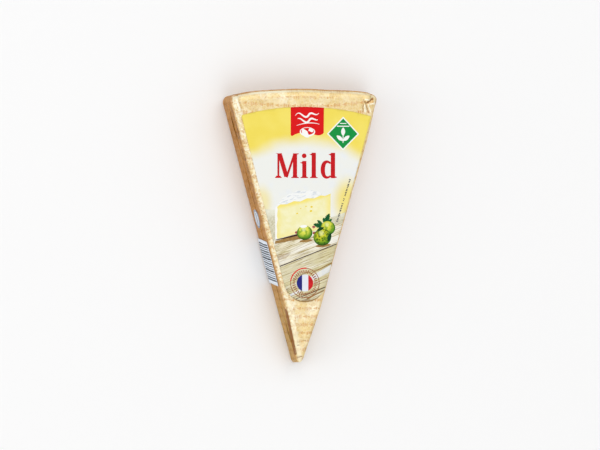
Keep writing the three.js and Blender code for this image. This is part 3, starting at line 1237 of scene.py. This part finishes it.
def foil_paper(colours):
    """Satin gold foil paper, printed in rows, painted darker on the walls as shade, creased all
    over, with painted highlights and shade on its creases.
    """
    f = Finish("gold_foil_paper")
    u, v, _ = f.split(f.node("ShaderNodeUVMap", {"uv_map": "sheet"}))
    at, x, y, z = f.place()
    wall = f.node("ShaderNodeAttribute", {"attribute_name": "wall"}, output=2)
    fold = f.node("ShaderNodeAttribute", {"attribute_name": "fold"}, output=2)

    printed = row_print(f, u, v)
    worn = f.step(f.cloud(at, 7.0), 0.30, 0.62)

    broad = f.cloud(at, 16.0, 3.0)
    grain = f.cloud(at, 1.3, 3.0, 0.6)
    wide = f.cells(at, 5.2)
    fine = f.cells(at, 2.1)
    ridge = 1.0 - f.step(wide, 0.0, 0.12)
    small_ridge = 1.0 - f.step(fine, 0.0, 0.16)

    # The ground, painted darker on the walls as shade, and on it painted highlight patches, darker
    # patches of tone and shade, and darker streaks and painted gleams on the walls.
    reach = f.math("SQRT", x**2.0 + (y - WHEEL_Y) ** 2.0)
    rind = f.step(reach, 172.4, 173.2)
    # On the walls and the rind end the ground turns to the darker foil colour: painted shade.
    side = f.math("MAXIMUM", f.step(wall, 0.70, 1.0), rind * f.step(wall, 0.36, 0.50))
    f.ground = f.blend(side, tuple(colours.foil), tuple(colours.foil_wall_shade))
    # Painted highlight patches on the foil, with a darker copy of them on the walls as painted
    # shade.
    highlight_patch = f.blend(wall, srgb(255, 248, 222), srgb(206, 150, 74))
    f.coat(f.step(broad, 0.47, 0.66) * 0.55, highlight_patch)
    # Darker patches: uneven tone of the foil, and painted shade on the dark facets below, with a
    # darker copy on the walls as painted shade.
    darker_tone_and_shade = f.blend(wall, srgb(208, 170, 112), srgb(146, 100, 46))
    f.coat(f.step(grain, 0.52, 0.70) * 0.38, darker_tone_and_shade)
    # The wall near the tip is painted paler: painted light.
    tip_wall = f.step(wall, 0.7, 1.0) * (1.0 - f.step(y, -60.0, -25.0))
    f.coat(tip_wall * 0.6, srgb(204, 176, 100))
    streak = f.cloud(f.join(x * 0.25, y * 0.25, z * 1.6), 1.6, 3.0)
    f.coat(f.step(streak, 0.50, 0.66) * f.step(wall, 0.7, 1.0) * 0.45, srgb(150, 104, 50))
    gleam = f.cloud(f.join(x * 0.3 + 20.0, y * 0.3, z * 1.4), 1.4, 3.0)
    f.coat(f.step(gleam, 0.54, 0.66) * f.step(wall, 0.7, 1.0) * 0.5, srgb(232, 160, 74))
    # Each facet of the crumple painted lighter or darker: painted highlight and painted shade.
    facet = f.facets(at, 4.2)
    f.coat(f.step(facet, 0.55, 1.0) * 0.30, highlight_patch)
    f.coat((1.0 - f.step(facet, 0.0, 0.42)) * 0.30, darker_tone_and_shade)

    # The printed rows, and the light on the creases.
    # The print has a darker copy on the walls, which is painted shade, and fades there.
    motif = f.blend(wall, tuple(colours.foil_print), srgb(150, 92, 40))
    f.coat(printed * (worn * 0.35 + 0.6) * (1.0 - wall * 0.6), motif)
    glint = f.math("MAXIMUM", ridge * f.step(broad, 0.4, 0.6), small_ridge * 0.5)
    f.coat(glint * 0.40 * (1.0 - wall), srgb(255, 250, 230))

    # The crinkled margin along the left edge, with painted highlight and painted shade spots,
    # painted shade along the rounded edges, and painted highlight lines round the rim and down it.
    from_left = x * math.cos(WEDGE_LEAN) + (y - WHEEL_Y) * math.sin(WEDGE_LEAN)
    margin = (1.0 - f.step(from_left, 3.0, 6.5)) * f.step(z, 19.0, 23.0)
    margin = margin * (1.0 - f.step(wall, 0.85, 1.0))
    crinkle = f.cloud(at, 1.7, 3.0, 0.65)
    f.coat(f.step(crinkle, 0.50, 0.60) * margin * 0.75, srgb(255, 250, 228))
    f.coat((1.0 - f.step(crinkle, 0.36, 0.46)) * margin * 0.85, srgb(196, 138, 70))
    # Painted shade along the rounded edge between top and wall.
    brink = f.step(wall, 0.40, 0.65) * (1.0 - f.step(wall, 0.80, 0.98)) * f.step(z, 8.0, 14.0)
    f.coat(brink * f.step(crinkle, 0.40, 0.56) * 0.6, srgb(216, 150, 78))
    shine = rind * f.step(wall, 0.06, 0.14) * (1.0 - f.step(wall, 0.28, 0.38))
    f.coat(shine * (0.35 + f.step(broad, 0.35, 0.6) * 0.6), srgb(255, 249, 220))
    left_line = (1.0 - f.step(abs(from_left - 2.0), 0.6, 2.4)) * f.step(z, 8.0, 13.0)
    nose = 1.0 - f.step(y, -56.0, -42.0)
    lit = left_line * (0.22 + nose * 0.35) * (1.0 - f.step(wall, 0.5, 0.9))
    f.coat(lit, srgb(255, 248, 218))

    # Dark specks of painted shade high on the left wall, then the painted shade and painted
    # highlights of the pleats.
    shaded_speck = f.step(f.cloud(f.join(x, y * 0.45, z), 1.6, 3.0, 0.65), 0.52, 0.60)
    high_wall = f.step(wall, 0.8, 0.95) * f.step(z, 15.0, 20.0) * f.step(y, 0.0, 40.0)
    high_wall = high_wall * (x < 0.0) * (1.0 - rind)
    f.coat(shaded_speck * high_wall * 0.8, srgb(84, 52, 26))
    # Painted shade in the folds and painted highlights on their ridges.
    f.coat(f.step(fold, 0.15, 0.85) * 0.88, srgb(140, 84, 34))
    f.coat(f.step(-fold, 0.12, 0.70) * 0.9, srgb(255, 250, 228))

    # The oval mark printed on the left wall, with a plain bar in place of its letters.
    mark_y = y - 3.8
    left = (x < 0.0) * f.step(wall, 0.8, 0.95)
    badge = f.math("SQRT", (mark_y / 5.9) ** 2.0 + ((z - 11.5) / 5.4) ** 2.0)
    blue = (badge < 1.0) * left
    edge = (badge > 0.78) * 1.0
    bar = (abs(z - 11.5) < 0.9) * (abs(mark_y) < 3.6)
    pale = f.math("MAXIMUM", edge, bar)
    f.coat(blue * 0.9, f.blend(pale, srgb(226, 236, 244), srgb(140, 168, 196)))

    height = ridge * 0.5 + small_ridge * 0.25 + f.cloud(at, 2.6, 4.0, 0.6) * 0.8
    height = height + crinkle * margin * 1.6
    f.bump(height + facet * wall * 1.2, 0.7, 0.16)
    roughness = 0.34 + f.step(grain, 0.3, 0.8) * 0.16 + printed * 0.12
    return f.surface(
        Base_Color=f.ground,
        Roughness=roughness,
        Metallic=0.45 - wall * 0.33,
        Specular_IOR_Level=0.1,
    )


def paper_ink(name, shade, second=None, size=6.0, amount=0.25):
    """Ink on coated label paper, a little uneven."""
    f = Finish(name)
    at, *_ = f.place()
    second = second or tuple(min(1.0, c * 1.25 + 0.02) for c in shade)
    uneven = f.step(f.cloud(at, size, 3.0), 0.3, 0.8) * amount
    return label_coat(f, at, f.blend(uneven, tuple(shade), second))


def label_coat(f, at, shade):
    """The coated paper under every ink of a label."""
    f.bump(f.cloud(at, 0.8, 3.0, 0.6) + f.cloud(at, 9.0, 1.0) * 3.0, 0.25, 0.05)
    roughness = 0.40 + f.cloud(at, 3.0) * 0.10
    return f.surface(Base_Color=shade, Roughness=roughness, Specular_IOR_Level=0.12)


def spot(f, x, y, at_x, at_y, wide, tall):
    """1 at a point of the label, fading to 0 at these distances."""
    away = f.math("SQRT", ((x - at_x) / wide) ** 2.0 + ((y - at_y) / tall) ** 2.0)
    return 1.0 - f.step(away, 0.25, 1.0)


def label_ground(colours):
    """Yellow that fades to white in the middle of the label and comes back lower down."""
    f = Finish("label_ground")
    at, x, y, _ = f.place()
    edge = 53.5 - ((x - 1.0) ** 2.0) * 0.0078 + (f.cloud(at, 14.0) - 0.5) * 5.0
    top = f.step(y - edge, -7.0, 5.5)
    on_left = spot(f, x, y, -27.0, 14.0, 9.0, 14.0) * 0.55
    on_right = spot(f, x, y, 28.0, 15.0, 12.0, 19.0) * 0.85
    low = f.math("MAXIMUM", on_left, on_right)
    yellow = f.math("MAXIMUM", top, low)
    uneven = f.step(f.cloud(at, 12.0), 0.3, 0.7) * 0.5
    deep = f.blend(uneven, tuple(colours.label_yellow), srgb(250, 233, 120))
    uneven = f.step(f.cloud(at, 7.0, 3.0), 0.45, 0.75) * 0.5
    white = f.blend(uneven, tuple(colours.label_white), srgb(232, 238, 246))
    return label_coat(f, at, f.blend(yellow, white, deep))


def picture_planks():
    """Pale sawn boards that run up to the right."""
    f = Finish("picture_planks")
    at, x, y, _ = f.place()
    c, s = math.cos(PLANK_TILT), math.sin(PLANK_TILT)
    run, over = x * c + y * s, y * c - x * s
    grain = f.cloud(f.join(run * 0.07, over * 1.0), 0.75, 4.0, 0.65)
    slow = f.cloud(f.join(run * 0.12, over), 4.0, 2.0)
    f.ground = f.blend(f.step(grain, 0.36, 0.56), srgb(170, 152, 84), srgb(238, 230, 202))
    f.coat(f.step(slow, 0.40, 0.62) * 0.8, srgb(252, 250, 242))
    lower = 1.0 - f.step(y - x * math.tan(PLANK_TILT), -21.0, -19.0)
    f.coat(lower * f.step(grain, 0.38, 0.46) * 0.75, srgb(210, 200, 150))
    lines = f.cloud(f.join(run * 0.05, over * 1.9 + 11.0), 0.9, 2.0)
    f.coat((1.0 - f.step(lines, 0.36, 0.43)) * (0.55 + lower * 0.3), srgb(142, 112, 58))
    f.coat(f.step(lines, 0.60, 0.68) * 0.7, srgb(250, 248, 240))
    knots = f.step(f.cloud(f.join(run * 0.25, over * 1.2 + 40.0), 5.0, 2.0), 0.62, 0.72)
    f.coat(knots * 0.45, srgb(176, 134, 74))
    foot = 1.0 - f.step(y, -46.0, -38.0)
    f.coat(foot * (1.0 - f.step(grain, 0.40, 0.52)) * 0.8, srgb(132, 96, 44))
    return label_coat(f, at, f.ground)


def picture_paste():
    """The cut face of the pictured cheese."""
    f = Finish("picture_paste")
    at, x, y, _ = f.place()
    foot = 1.0 - f.step(y - x * 0.235, -9.0, 0.5)
    rim = f.math("MAXIMUM", foot, f.step(y - x * 0.235, 12.0, 15.4))
    side = f.math("MAXIMUM", f.step(x, 12.5, 16.5), 1.0 - f.step(x, -17.0, -13.0))
    uneven = f.step(f.cloud(at, 3.5, 3.0), 0.3, 0.7)
    shade = f.blend(uneven, srgb(244, 238, 178), srgb(248, 244, 200))
    shade = f.blend(f.math("MAXIMUM", rim, side * 0.6) * 0.85, shade, srgb(249, 229, 104))
    return label_coat(f, at, shade)


def picture_rind():
    """White bloom with grey brush strokes, on top of the pictured cheese."""
    f = Finish("picture_rind")
    at, x, y, _ = f.place()
    strokes = f.cloud(f.join(x * 0.35, y * 1.3 - x * 0.35), 1.6, 3.0, 0.6)
    grey = (1.0 - f.step(strokes, 0.36, 0.50)) * 0.75
    shade = f.blend(grey, srgb(246, 247, 245), srgb(202, 211, 220))
    return label_coat(f, at, f.blend(f.step(strokes, 0.60, 0.70) * 0.5, shade, srgb(246, 242, 214)))


def picture_wall():
    """The rough pale wall behind the boards."""
    f = Finish("picture_wall")
    at, _, y, _ = f.place()
    rough = f.step(f.cloud(at, 1.1, 3.0, 0.7), 0.35, 0.65)
    shade = f.blend(rough, srgb(196, 190, 156), srgb(226, 222, 200))
    fade = f.step(y, 2.0, 9.0)
    return label_coat(f, at, f.blend(fade * 0.8, shade, srgb(240, 240, 222)))


def picture_fruit(which, x0, y0, radius, ripe, mottled):
    """A small green fruit, lit from above."""
    f = Finish("picture_fruit_" + which)
    at, x, y, _ = f.place()
    away = f.math("SQRT", ((x - x0) / radius) ** 2.0 + ((y - y0) / radius) ** 2.0)
    lit_x = ((x - x0 + 0.1 * radius) / radius) ** 2.0
    lit_y = ((y - y0 - 0.45 * radius) / radius) ** 2.0
    light = f.math("SQRT", lit_x + lit_y)
    f.ground = f.blend(f.step(light, 0.45, 1.25), ripe, srgb(84, 146, 26))
    f.coat(f.step(f.cloud(at, 2.6, 2.0), 0.50, 0.60) * 0.7, srgb(104, 158, 30))
    f.coat((1.0 - f.step(f.cells(at, 1.2, "F1"), 0.30, 0.58)) * mottled, srgb(66, 92, 8))
    f.coat(f.step(away, 0.80, 1.02) * 0.8, srgb(34, 92, 26))
    f.coat(f.step(y0 - y, 0.45 * radius, 0.98 * radius) * 0.85, srgb(20, 44, 12))
    f.coat((1.0 - f.step(light, 0.12, 0.42)) * 0.6, srgb(240, 246, 176))
    return label_coat(f, at, f.ground)


def label_inks(colours):
    """The finishes of the front label, by the names that front_print uses."""
    return {
        "ground": label_ground(colours),
        "wall": picture_wall(),
        "planks": picture_planks(),
        "rind": picture_rind(),
        "paste": picture_paste(),
        "crumb": paper_ink("picture_crumb", srgb(236, 206, 40)),
        "white": paper_ink("ink_white", srgb(250, 250, 246)),
        "flag_white": paper_ink("ink_flag_white", srgb(226, 230, 240)),
        "shadow": paper_ink("ink_dark_umber", srgb(64, 42, 34)),
        "umber": paper_ink("ink_umber", srgb(170, 134, 78), srgb(128, 92, 48), 2.0, 0.8),
        "gap": paper_ink("ink_pale_gap", srgb(226, 228, 228), srgb(240, 238, 226), 2.0, 0.8),
        "stem_green": paper_ink("ink_leaf_green", srgb(6, 78, 38), srgb(24, 116, 54), 1.4, 0.8),
        "leaf_dark": paper_ink("ink_leaf_shade", srgb(8, 56, 26), srgb(18, 84, 38), 1.2, 0.7),
        "berry": paper_ink("ink_berry", srgb(150, 40, 52), srgb(214, 150, 140), 1.2, 0.6),
        "fruit_left": picture_fruit("left", 0.4, -5.0, 4.7, srgb(226, 230, 84), 0.10),
        "fruit_front": picture_fruit("front", 11.8, -7.8, 5.6, srgb(204, 206, 40), 0.85),
        "fruit_back": picture_fruit("back", 15.3, -2.0, 4.6, srgb(222, 222, 74), 0.15),
        "brown": paper_ink("ink_brown", srgb(150, 84, 44), srgb(176, 108, 60), 2.0, 0.6),
        "navy": paper_ink("ink_navy", srgb(36, 36, 118), srgb(52, 60, 150), 2.0, 0.5),
        "grey": paper_ink("ink_grey", srgb(76, 76, 78), srgb(112, 112, 110), 1.5, 0.6),
        "green": paper_ink("ink_green", tuple(colours.green), srgb(20, 160, 74), 3.0, 0.4),
        "word_red": paper_ink("ink_word_red", srgb(206, 20, 28), srgb(176, 16, 24), 2.2, 0.8),
        "disc_red": paper_ink("ink_disc_red", srgb(220, 38, 42), srgb(180, 20, 28), 3.0, 0.9),
        "red": paper_ink("ink_red", tuple(colours.red), srgb(226, 34, 30), 3.0, 0.4),
    }


def side_paper(colours):
    """The side label's pale paper, a little grey where it is scuffed."""
    f = Finish("side_label_paper")
    at, *_ = f.place()
    scuff = f.step(f.cloud(at, 2.2, 4.0, 0.65), 0.42, 0.68)
    return label_coat(f, at, f.blend(scuff * 0.45, tuple(colours.side_label), srgb(232, 238, 248)))


def cheese_body():
    """White rind on the round and flat faces of the wheel, cream paste on the two cut faces."""
    f = Finish("soft_cheese")
    at, _, _, z = f.place()
    faces_x, _, faces_z = f.split(f.node("ShaderNodeNewGeometry", output=1))
    cut = f.step(abs(faces_x), 0.80, 0.93) * (1.0 - f.step(abs(faces_z), 0.25, 0.5))
    patchy = f.step(f.cloud(at, 3.0, 4.0, 0.65), 0.45, 0.7)
    bloom = f.blend(patchy, srgb(247, 244, 234), srgb(222, 206, 172))
    patchy = f.step(f.cloud(at, 6.0, 3.0), 0.35, 0.7)
    paste = f.blend(patchy, srgb(246, 232, 178), srgb(238, 216, 146))
    near_rind = f.math("MAXIMUM", f.step(z, 22.5, 25.4), 1.0 - f.step(z, 0.8, 3.4))
    paste = f.blend(near_rind * 0.7, paste, srgb(248, 242, 222))
    # Small holes in the paste, painted darker: painted shade in the holes.
    holes = 1.0 - f.step(f.cells(at, 7.0, "F1"), 0.03, 0.08)
    paste = f.blend(holes * 0.6, paste, srgb(206, 176, 104))
    f.bump(f.cloud(at, 0.7, 4.0, 0.7) - holes * 2.0, 0.5, 0.15)
    return f.surface(Base_Color=f.blend(cut, bloom, paste), Roughness=0.55 + (1.0 - cut) * 0.3)


def studio_floor(colours):
    f = Finish("studio_floor")
    at, *_ = f.place()
    shade = f.blend(f.cloud(at, 90.0) * 0.3, tuple(colours.floor), (0.97, 0.97, 0.97))
    return f.surface(Base_Color=shade, Roughness=0.75 + f.cloud(at, 40.0) * 0.05)


# ---------------------------------------------------------------------------------------------
# Marks that repeat, made by Geometry Nodes


class Growth:
    """A Geometry Nodes tree with named inputs, under construction."""

    KINDS = {int: "NodeSocketInt", float: "NodeSocketFloat"}

    def __init__(self, name, values):
        self.values = values
        self.tree = bpy.data.node_groups.new(name, "GeometryNodeTree")
        for label, value in values.items():
            kind = self.KINDS.get(type(value), "NodeSocketMaterial")
            self.tree.interface.new_socket(label, in_out="INPUT", socket_type=kind)
        self.tree.interface.new_socket("Marks", in_out="OUTPUT", socket_type="NodeSocketGeometry")
        self.source = self.tree.nodes.new("NodeGroupInput")

    def given(self, label):
        return self.source.outputs[label]

    def node(self, kind, settings=None, inputs=None, output=0):
        made = self.tree.nodes.new(kind)
        for key, value in (settings or {}).items():
            setattr(made, key, value)
        for key, value in (inputs or {}).items():
            if isinstance(value, bpy.types.NodeSocket):
                self.tree.links.new(value, made.inputs[key])
            else:
                made.inputs[key].default_value = value
        return made.outputs[output]

    def math(self, operation, *values):
        return self.node("ShaderNodeMath", {"operation": operation}, dict(enumerate(values)))

    def join(self, x=0.0, y=0.0, z=0.0):
        return self.node("ShaderNodeCombineXYZ", inputs={0: x, 1: y, 2: z})

    def box(self, size, **counts):
        """A block of this size, with more points along a side where counts says so."""
        return self.node("GeometryNodeMeshCube", inputs={"Size": size, **counts})

    def scatter(self, points, mark, **placing):
        inputs = {"Points": points, "Instance": mark, **placing}
        return self.node("GeometryNodeInstanceOnPoints", inputs=inputs)

    def random(self, low, high, seed):
        made = self.tree.nodes.new("FunctionNodeRandomValue")
        made.data_type = "FLOAT"
        floats = [s for s in made.inputs if s.name in ("Min", "Max") and s.type == "VALUE"]
        for socket, value in zip(floats, (low, high)):
            if isinstance(value, bpy.types.NodeSocket):
                self.tree.links.new(value, socket)
            else:
                socket.default_value = value
        self.tree.links.new(seed, made.inputs["Seed"])
        return next(s for s in made.outputs if s.type == "VALUE")

    def grow(self, name, instances, ink):
        """Ends the tree, runs it, and gives the result as a plain mesh object."""
        real = self.node("GeometryNodeRealizeInstances", inputs={0: instances})
        inked = self.node("GeometryNodeSetMaterial", inputs={"Geometry": real, "Material": ink})
        output = self.tree.nodes.new("NodeGroupOutput")
        self.tree.links.new(inked, output.inputs[0])
        piece = mesh_piece(name, [(0, 0, 0)], [], [])
        grown = piece.modifiers.new("Marks", "NODES")
        grown.node_group = self.tree
        for item in self.tree.interface.items_tree:
            if item.in_out == "INPUT" and item.name in self.values:
                grown[item.identifier] = self.values[item.name]
        freeze(piece)
        return piece


def grow_bars(sizes, run, tall, ink):
    """Upright bars of uneven width, side by side along X."""
    values = {"Bars": sizes.bar_count, "Run": run, "Tall": tall, "Narrow": 0.42, "Wide": 1.15}
    values |= {"Ink height": sizes.ink_height / MM, "Seed": sizes.bar_seed, "Ink": ink}
    tree = Growth("barcode_bars", values)
    gaps = tree.math("SUBTRACT", tree.given("Bars"), 1.0)
    offset = tree.join(tree.math("DIVIDE", tree.given("Run"), gaps))
    inputs = {"Count": tree.given("Bars"), "Offset": offset}
    points = tree.node("GeometryNodeMeshLine", inputs=inputs)
    size = tree.join(1.0, tree.given("Tall"), tree.given("Ink height"))
    bar = tree.box(size, **{"Vertices X": 2, "Vertices Y": 24, "Vertices Z": 2})
    wide = tree.random(tree.given("Narrow"), tree.given("Wide"), tree.given("Seed"))
    bars = tree.scatter(points, bar, Scale=tree.join(wide, 1.0, 1.0))
    return tree.grow("barcode_marks", bars, tree.given("Ink"))


def grow_ring(sizes, radius, reach, ink):
    """Short marks that stand round a ring, like the hours of a dial."""
    values = {"Marks": sizes.tick_count, "Radius": radius, "Reach": reach, "Wide": 0.62}
    values |= {"Ink height": sizes.ink_height / MM, "Seed": sizes.tick_seed, "Ink": ink}
    tree = Growth("stamp_ring", values)
    inputs = {"Vertices": tree.given("Marks"), "Radius": tree.given("Radius")}
    ring = tree.node("GeometryNodeMeshCircle", inputs=inputs)
    index = tree.node("GeometryNodeInputIndex")
    turn = tree.math("MULTIPLY", tree.math("DIVIDE", index, tree.given("Marks")), math.tau)
    size = tree.join(tree.given("Reach"), tree.given("Wide"), tree.given("Ink height"))
    long_share = tree.random(0.45, 1.0, tree.given("Seed"))
    placing = {"Rotation": tree.join(z=turn), "Scale": tree.join(long_share, 1.0, 1.0)}
    marks = tree.scatter(ring, tree.box(size), **placing)
    return tree.grow("stamp_marks", marks, tree.given("Ink"))


def bend(piece, place):
    """Moves every point of a piece through a function, once it is final in the flat."""
    for vertex in piece.data.vertices:
        vertex.co = place(*vertex.co)
    piece.data.update()


def absorb(piece, extra):
    """Adds another piece's mesh and materials to this one's."""
    made = bmesh.new()
    made.from_mesh(piece.data)
    first, offset = len(made.faces), len(piece.data.materials)
    made.from_mesh(extra.data)
    made.faces.ensure_lookup_table()
    for face in made.faces[first:]:
        face.material_index += offset
    for material in extra.data.materials:
        piece.data.materials.append(material)
    made.to_mesh(piece.data)
    made.free()
    bpy.data.objects.remove(extra)


# ---------------------------------------------------------------------------------------------
# Operators

# How the labels lie, in millimetres; the lean is a slope.
FRONT_LABEL_LIFT, SIDE_LABEL_LIFT = 0.12, 0.16
SIDE_LABEL_LEAN, SIDE_LABEL_EXTRA = 0.12, 1.4
LAP_STEP = 0.42
BAR_MARGIN_ALONG, BAR_MARGIN_UP = 5.6, 1.8


class CHEESE_OT_dress_cheese(bpy.types.Operator):
    """Give the cheese its rind and paste"""

    bl_idname = "cheese_pack.dress_cheese"
    bl_label = "Cheese"

    def execute(self, context):
        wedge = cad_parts["cheese_wedge"]
        wedge.data.materials.clear()
        wedge.data.materials.append(cheese_body())
        return {"FINISHED"}


class CHEESE_OT_fold_wrapper(bpy.types.Operator):
    """Fold the foil paper round the cheese, with its lap and its closing flaps"""

    bl_idname = "cheese_pack.fold_wrapper"
    bl_label = "Wrapper"

    def execute(self, context):
        scene = context.scene
        piece = build_wrapper(scene.wedge_sizes, foil_paper(scene.pack_colours))
        if not piece.data.polygons:
            raise RuntimeError("the wrapper came out empty")
        hand_over(piece, "foil_paper", "wrapper")
        return {"FINISHED"}


class CHEESE_OT_print_front_label(bpy.types.Operator):
    """Print the front label and lay it on the wrapper"""

    bl_idname = "cheese_pack.print_front_label"
    bl_label = "Front label"

    def execute(self, context):
        scene = context.scene
        sizes = scene.label_sizes
        inks = label_inks(scene.pack_colours)
        names = list(inks)
        points, faces, slots = printed_sheet(label_outline(), front_print(), sizes.grid / MM, names)
        if not faces:
            raise RuntimeError("the front label came out empty")
        shape = WedgeShape(scene.wedge_sizes)
        base = shape.top + (sizes.paper_gap + sizes.paper_thickness) / MM

        def lie(x, y, z=0.0):
            aside = float(corner_swell(shape, x, y)[0])
            back = 1.5 * float(smooth_step(y, 48.0, 73.0))
            height = base + z + FRONT_LABEL_LIFT + float(label_swell(x, y))
            return Vector((x + aside, y + back, height)) * MM

        laid = [lie(*p) for p in points]
        piece = mesh_piece("front_label_sheet", laid, faces, list(inks.values()), slots)
        thicken(piece, sizes.paper_thickness)
        ring = grow_ring(sizes, radius=7.15, reach=2.2, ink=inks["brown"])
        lift = sizes.ink_height / MM / 2
        bend(ring, lambda x, y, z: lie(x + STAMP_X, y + STAMP_Y, z + lift))
        absorb(piece, ring)
        hand_over(piece, "printed_label", "front_label")
        return {"FINISHED"}


class CHEESE_OT_print_side_label(bpy.types.Operator):
    """Print the side label and lay it on the left wall, over the lap"""

    bl_idname = "cheese_pack.print_side_label"
    bl_label = "Side label"

    def execute(self, context):
        scene = context.scene
        sizes, wedge = scene.label_sizes, scene.wedge_sizes
        shape = WedgeShape(wedge)
        c, s = math.cos(shape.half), math.sin(shape.half)
        corners = [v.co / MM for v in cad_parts["side_label"].data.vertices]
        along = [-p.x * s + (p.y - shape.centre_y) * c for p in corners]
        start, end = min(along), max(along)
        foot, head = min(p.z for p in corners), max(p.z for p in corners) + SIDE_LABEL_EXTRA
        middle = (head + foot) / 2
        edge = wedge.lap_height / MM
        paper = (sizes.paper_gap + sizes.paper_thickness) / MM

        def lie(run, up, off=0.0):
            step = LAP_STEP * (1.0 - float(smooth_step(up, edge - 0.6, edge + 2.2)))
            wave = 0.12 * math.sin(run * 0.35) * math.sin(up * 0.3)
            out = shape.grow + paper + step + SIDE_LABEL_LIFT + wave + off
            place = run - SIDE_LABEL_LEAN * (up - middle)
            return Vector((-place * s - out * c, shape.centre_y + place * c - out * s, up)) * MM

        radius = 0.9
        outline = []
        turns = ((end, head, 0), (start, head, 90), (start, foot, 180), (end, foot, 270))
        for x, y, bearing in turns:
            inset_x = x + (radius if x == start else -radius)
            inset_y = y + (radius if y == foot else -radius)
            outline += arc(inset_x, inset_y, radius, bearing, bearing + 90, 5)
        paper_ground = side_paper(scene.pack_colours)
        points, faces, slots = printed_sheet(outline, [], sizes.grid / MM / 2, ["ground"])
        if not faces:
            raise RuntimeError("the side label came out empty")
        outward = [face[::-1] for face in faces]
        laid = [lie(*p) for p in points]
        piece = mesh_piece("side_label_sheet", laid, outward, [paper_ground], slots)
        thicken(piece, sizes.paper_thickness)
        ink = paper_ink("bar_ink", srgb(46, 50, 60), srgb(96, 102, 116), 3.0, 0.4)
        run, tall = end - start - BAR_MARGIN_ALONG, head - foot - BAR_MARGIN_UP
        bars = grow_bars(sizes, run, tall, ink)
        lift = sizes.ink_height / MM / 2
        bend(bars, lambda x, y, z: lie(start + 3.0 + x, middle + y, z + lift))
        absorb(piece, bars)
        hand_over(piece, "barcode_label", "side_label")
        return {"FINISHED"}


class CHEESE_OT_set_stage(bpy.types.Operator):
    """Set the floor, the light and the camera"""

    bl_idname = "cheese_pack.set_stage"
    bl_label = "Stage"

    def execute(self, context):
        scene = context.scene
        stage = scene.stage_settings
        half = 3.0
        floor = mesh_piece(
            "studio_floor",
            [(-half, -half, 0), (half, -half, 0), (half, half, 0), (-half, half, 0)],
            [(0, 1, 2, 3)],
            [studio_floor(scene.pack_colours)],
        )

        world = bpy.data.worlds.new("studio_sky")
        scene.world = world
        world.use_nodes = True
        sky = world.node_tree.nodes["Background"]
        sky.inputs["Color"].default_value = (1.0, 1.0, 1.0, 1.0)
        sky.inputs["Strength"].default_value = stage.sky

        self.light(scene, "front_light", (0.1, -1.35, 2.5), 2.0, stage.key * 0.85)
        self.light(scene, "back_light", (0.1, 1.35, 2.5), 2.0, stage.key * 1.25)
        self.light(scene, "left_light", (-2.3, -0.1, 1.15), 1.6, stage.key * 0.55)

        camera = bpy.data.objects.new("camera", bpy.data.cameras.new("camera"))
        scene.collection.objects.link(camera)
        camera.data.lens = stage.lens
        camera.data.sensor_width = 36.0
        camera.data.clip_start, camera.data.clip_end = 0.05, 20.0
        tilt = stage.tilt
        aim = Vector((-2.55 * MM, -0.15 * MM, cad_high.z))
        right = Vector((math.cos(tilt), 0, math.sin(tilt)))
        back = Vector((-math.sin(tilt), 0, math.cos(tilt)))
        turn = Matrix((right, Vector((0, 1, 0)), back)).transposed().to_4x4()
        camera.matrix_world = Matrix.Translation(aim + back * stage.distance) @ turn
        scene.camera = camera
        scene.view_settings.view_transform = "Standard"
        return {"FINISHED"}

    def light(self, scene, name, place, size, power):
        lamp = bpy.data.lights.new(name, "AREA")
        lamp.size = size
        lamp.energy = power
        holder = bpy.data.objects.new(name, lamp)
        scene.collection.objects.link(holder)
        holder.location = place
        holder.rotation_euler = (-Vector(place)).to_track_quat("-Z", "Y").to_euler()


class CHEESE_PT_pack(bpy.types.Panel):
    """Lists the pieces of the wrapped wedge"""

    bl_idname = "CHEESE_PT_pack"
    bl_label = "Wrapped Cheese Wedge"
    bl_space_type = "VIEW_3D"
    bl_region_type = "UI"
    bl_category = "Cheese"

    def draw(self, context):
        for operator in BUILD_ORDER:
            self.layout.operator(operator.bl_idname)
        for group in GROUPS:
            box = self.layout.box()
            values = getattr(context.scene, group)
            for name in values.bl_rna.properties.keys():
                if name not in {"rna_type", "name"}:
                    box.prop(values, name)


GROUPS = {
    "wedge_sizes": WedgeSizes,
    "label_sizes": LabelSizes,
    "pack_colours": PackColours,
    "stage_settings": StageSettings,
}
BUILD_ORDER = (
    CHEESE_OT_dress_cheese,
    CHEESE_OT_fold_wrapper,
    CHEESE_OT_print_front_label,
    CHEESE_OT_print_side_label,
    CHEESE_OT_set_stage,
)
CLASSES = (*GROUPS.values(), *BUILD_ORDER, CHEESE_PT_pack)


def register():
    for one in CLASSES:
        bpy.utils.register_class(one)
    for name, group in GROUPS.items():
        setattr(bpy.types.Scene, name, PointerProperty(type=group))


def unregister():
    for name in GROUPS:
        delattr(bpy.types.Scene, name)
    for one in reversed(CLASSES):
        bpy.utils.unregister_class(one)


def main():
    """Builds every piece."""
    register()
    for operator in BUILD_ORDER:
        group, name = operator.bl_idname.split(".")
        getattr(getattr(bpy.ops, group), name)()


if __name__ == "__main__":
    main()
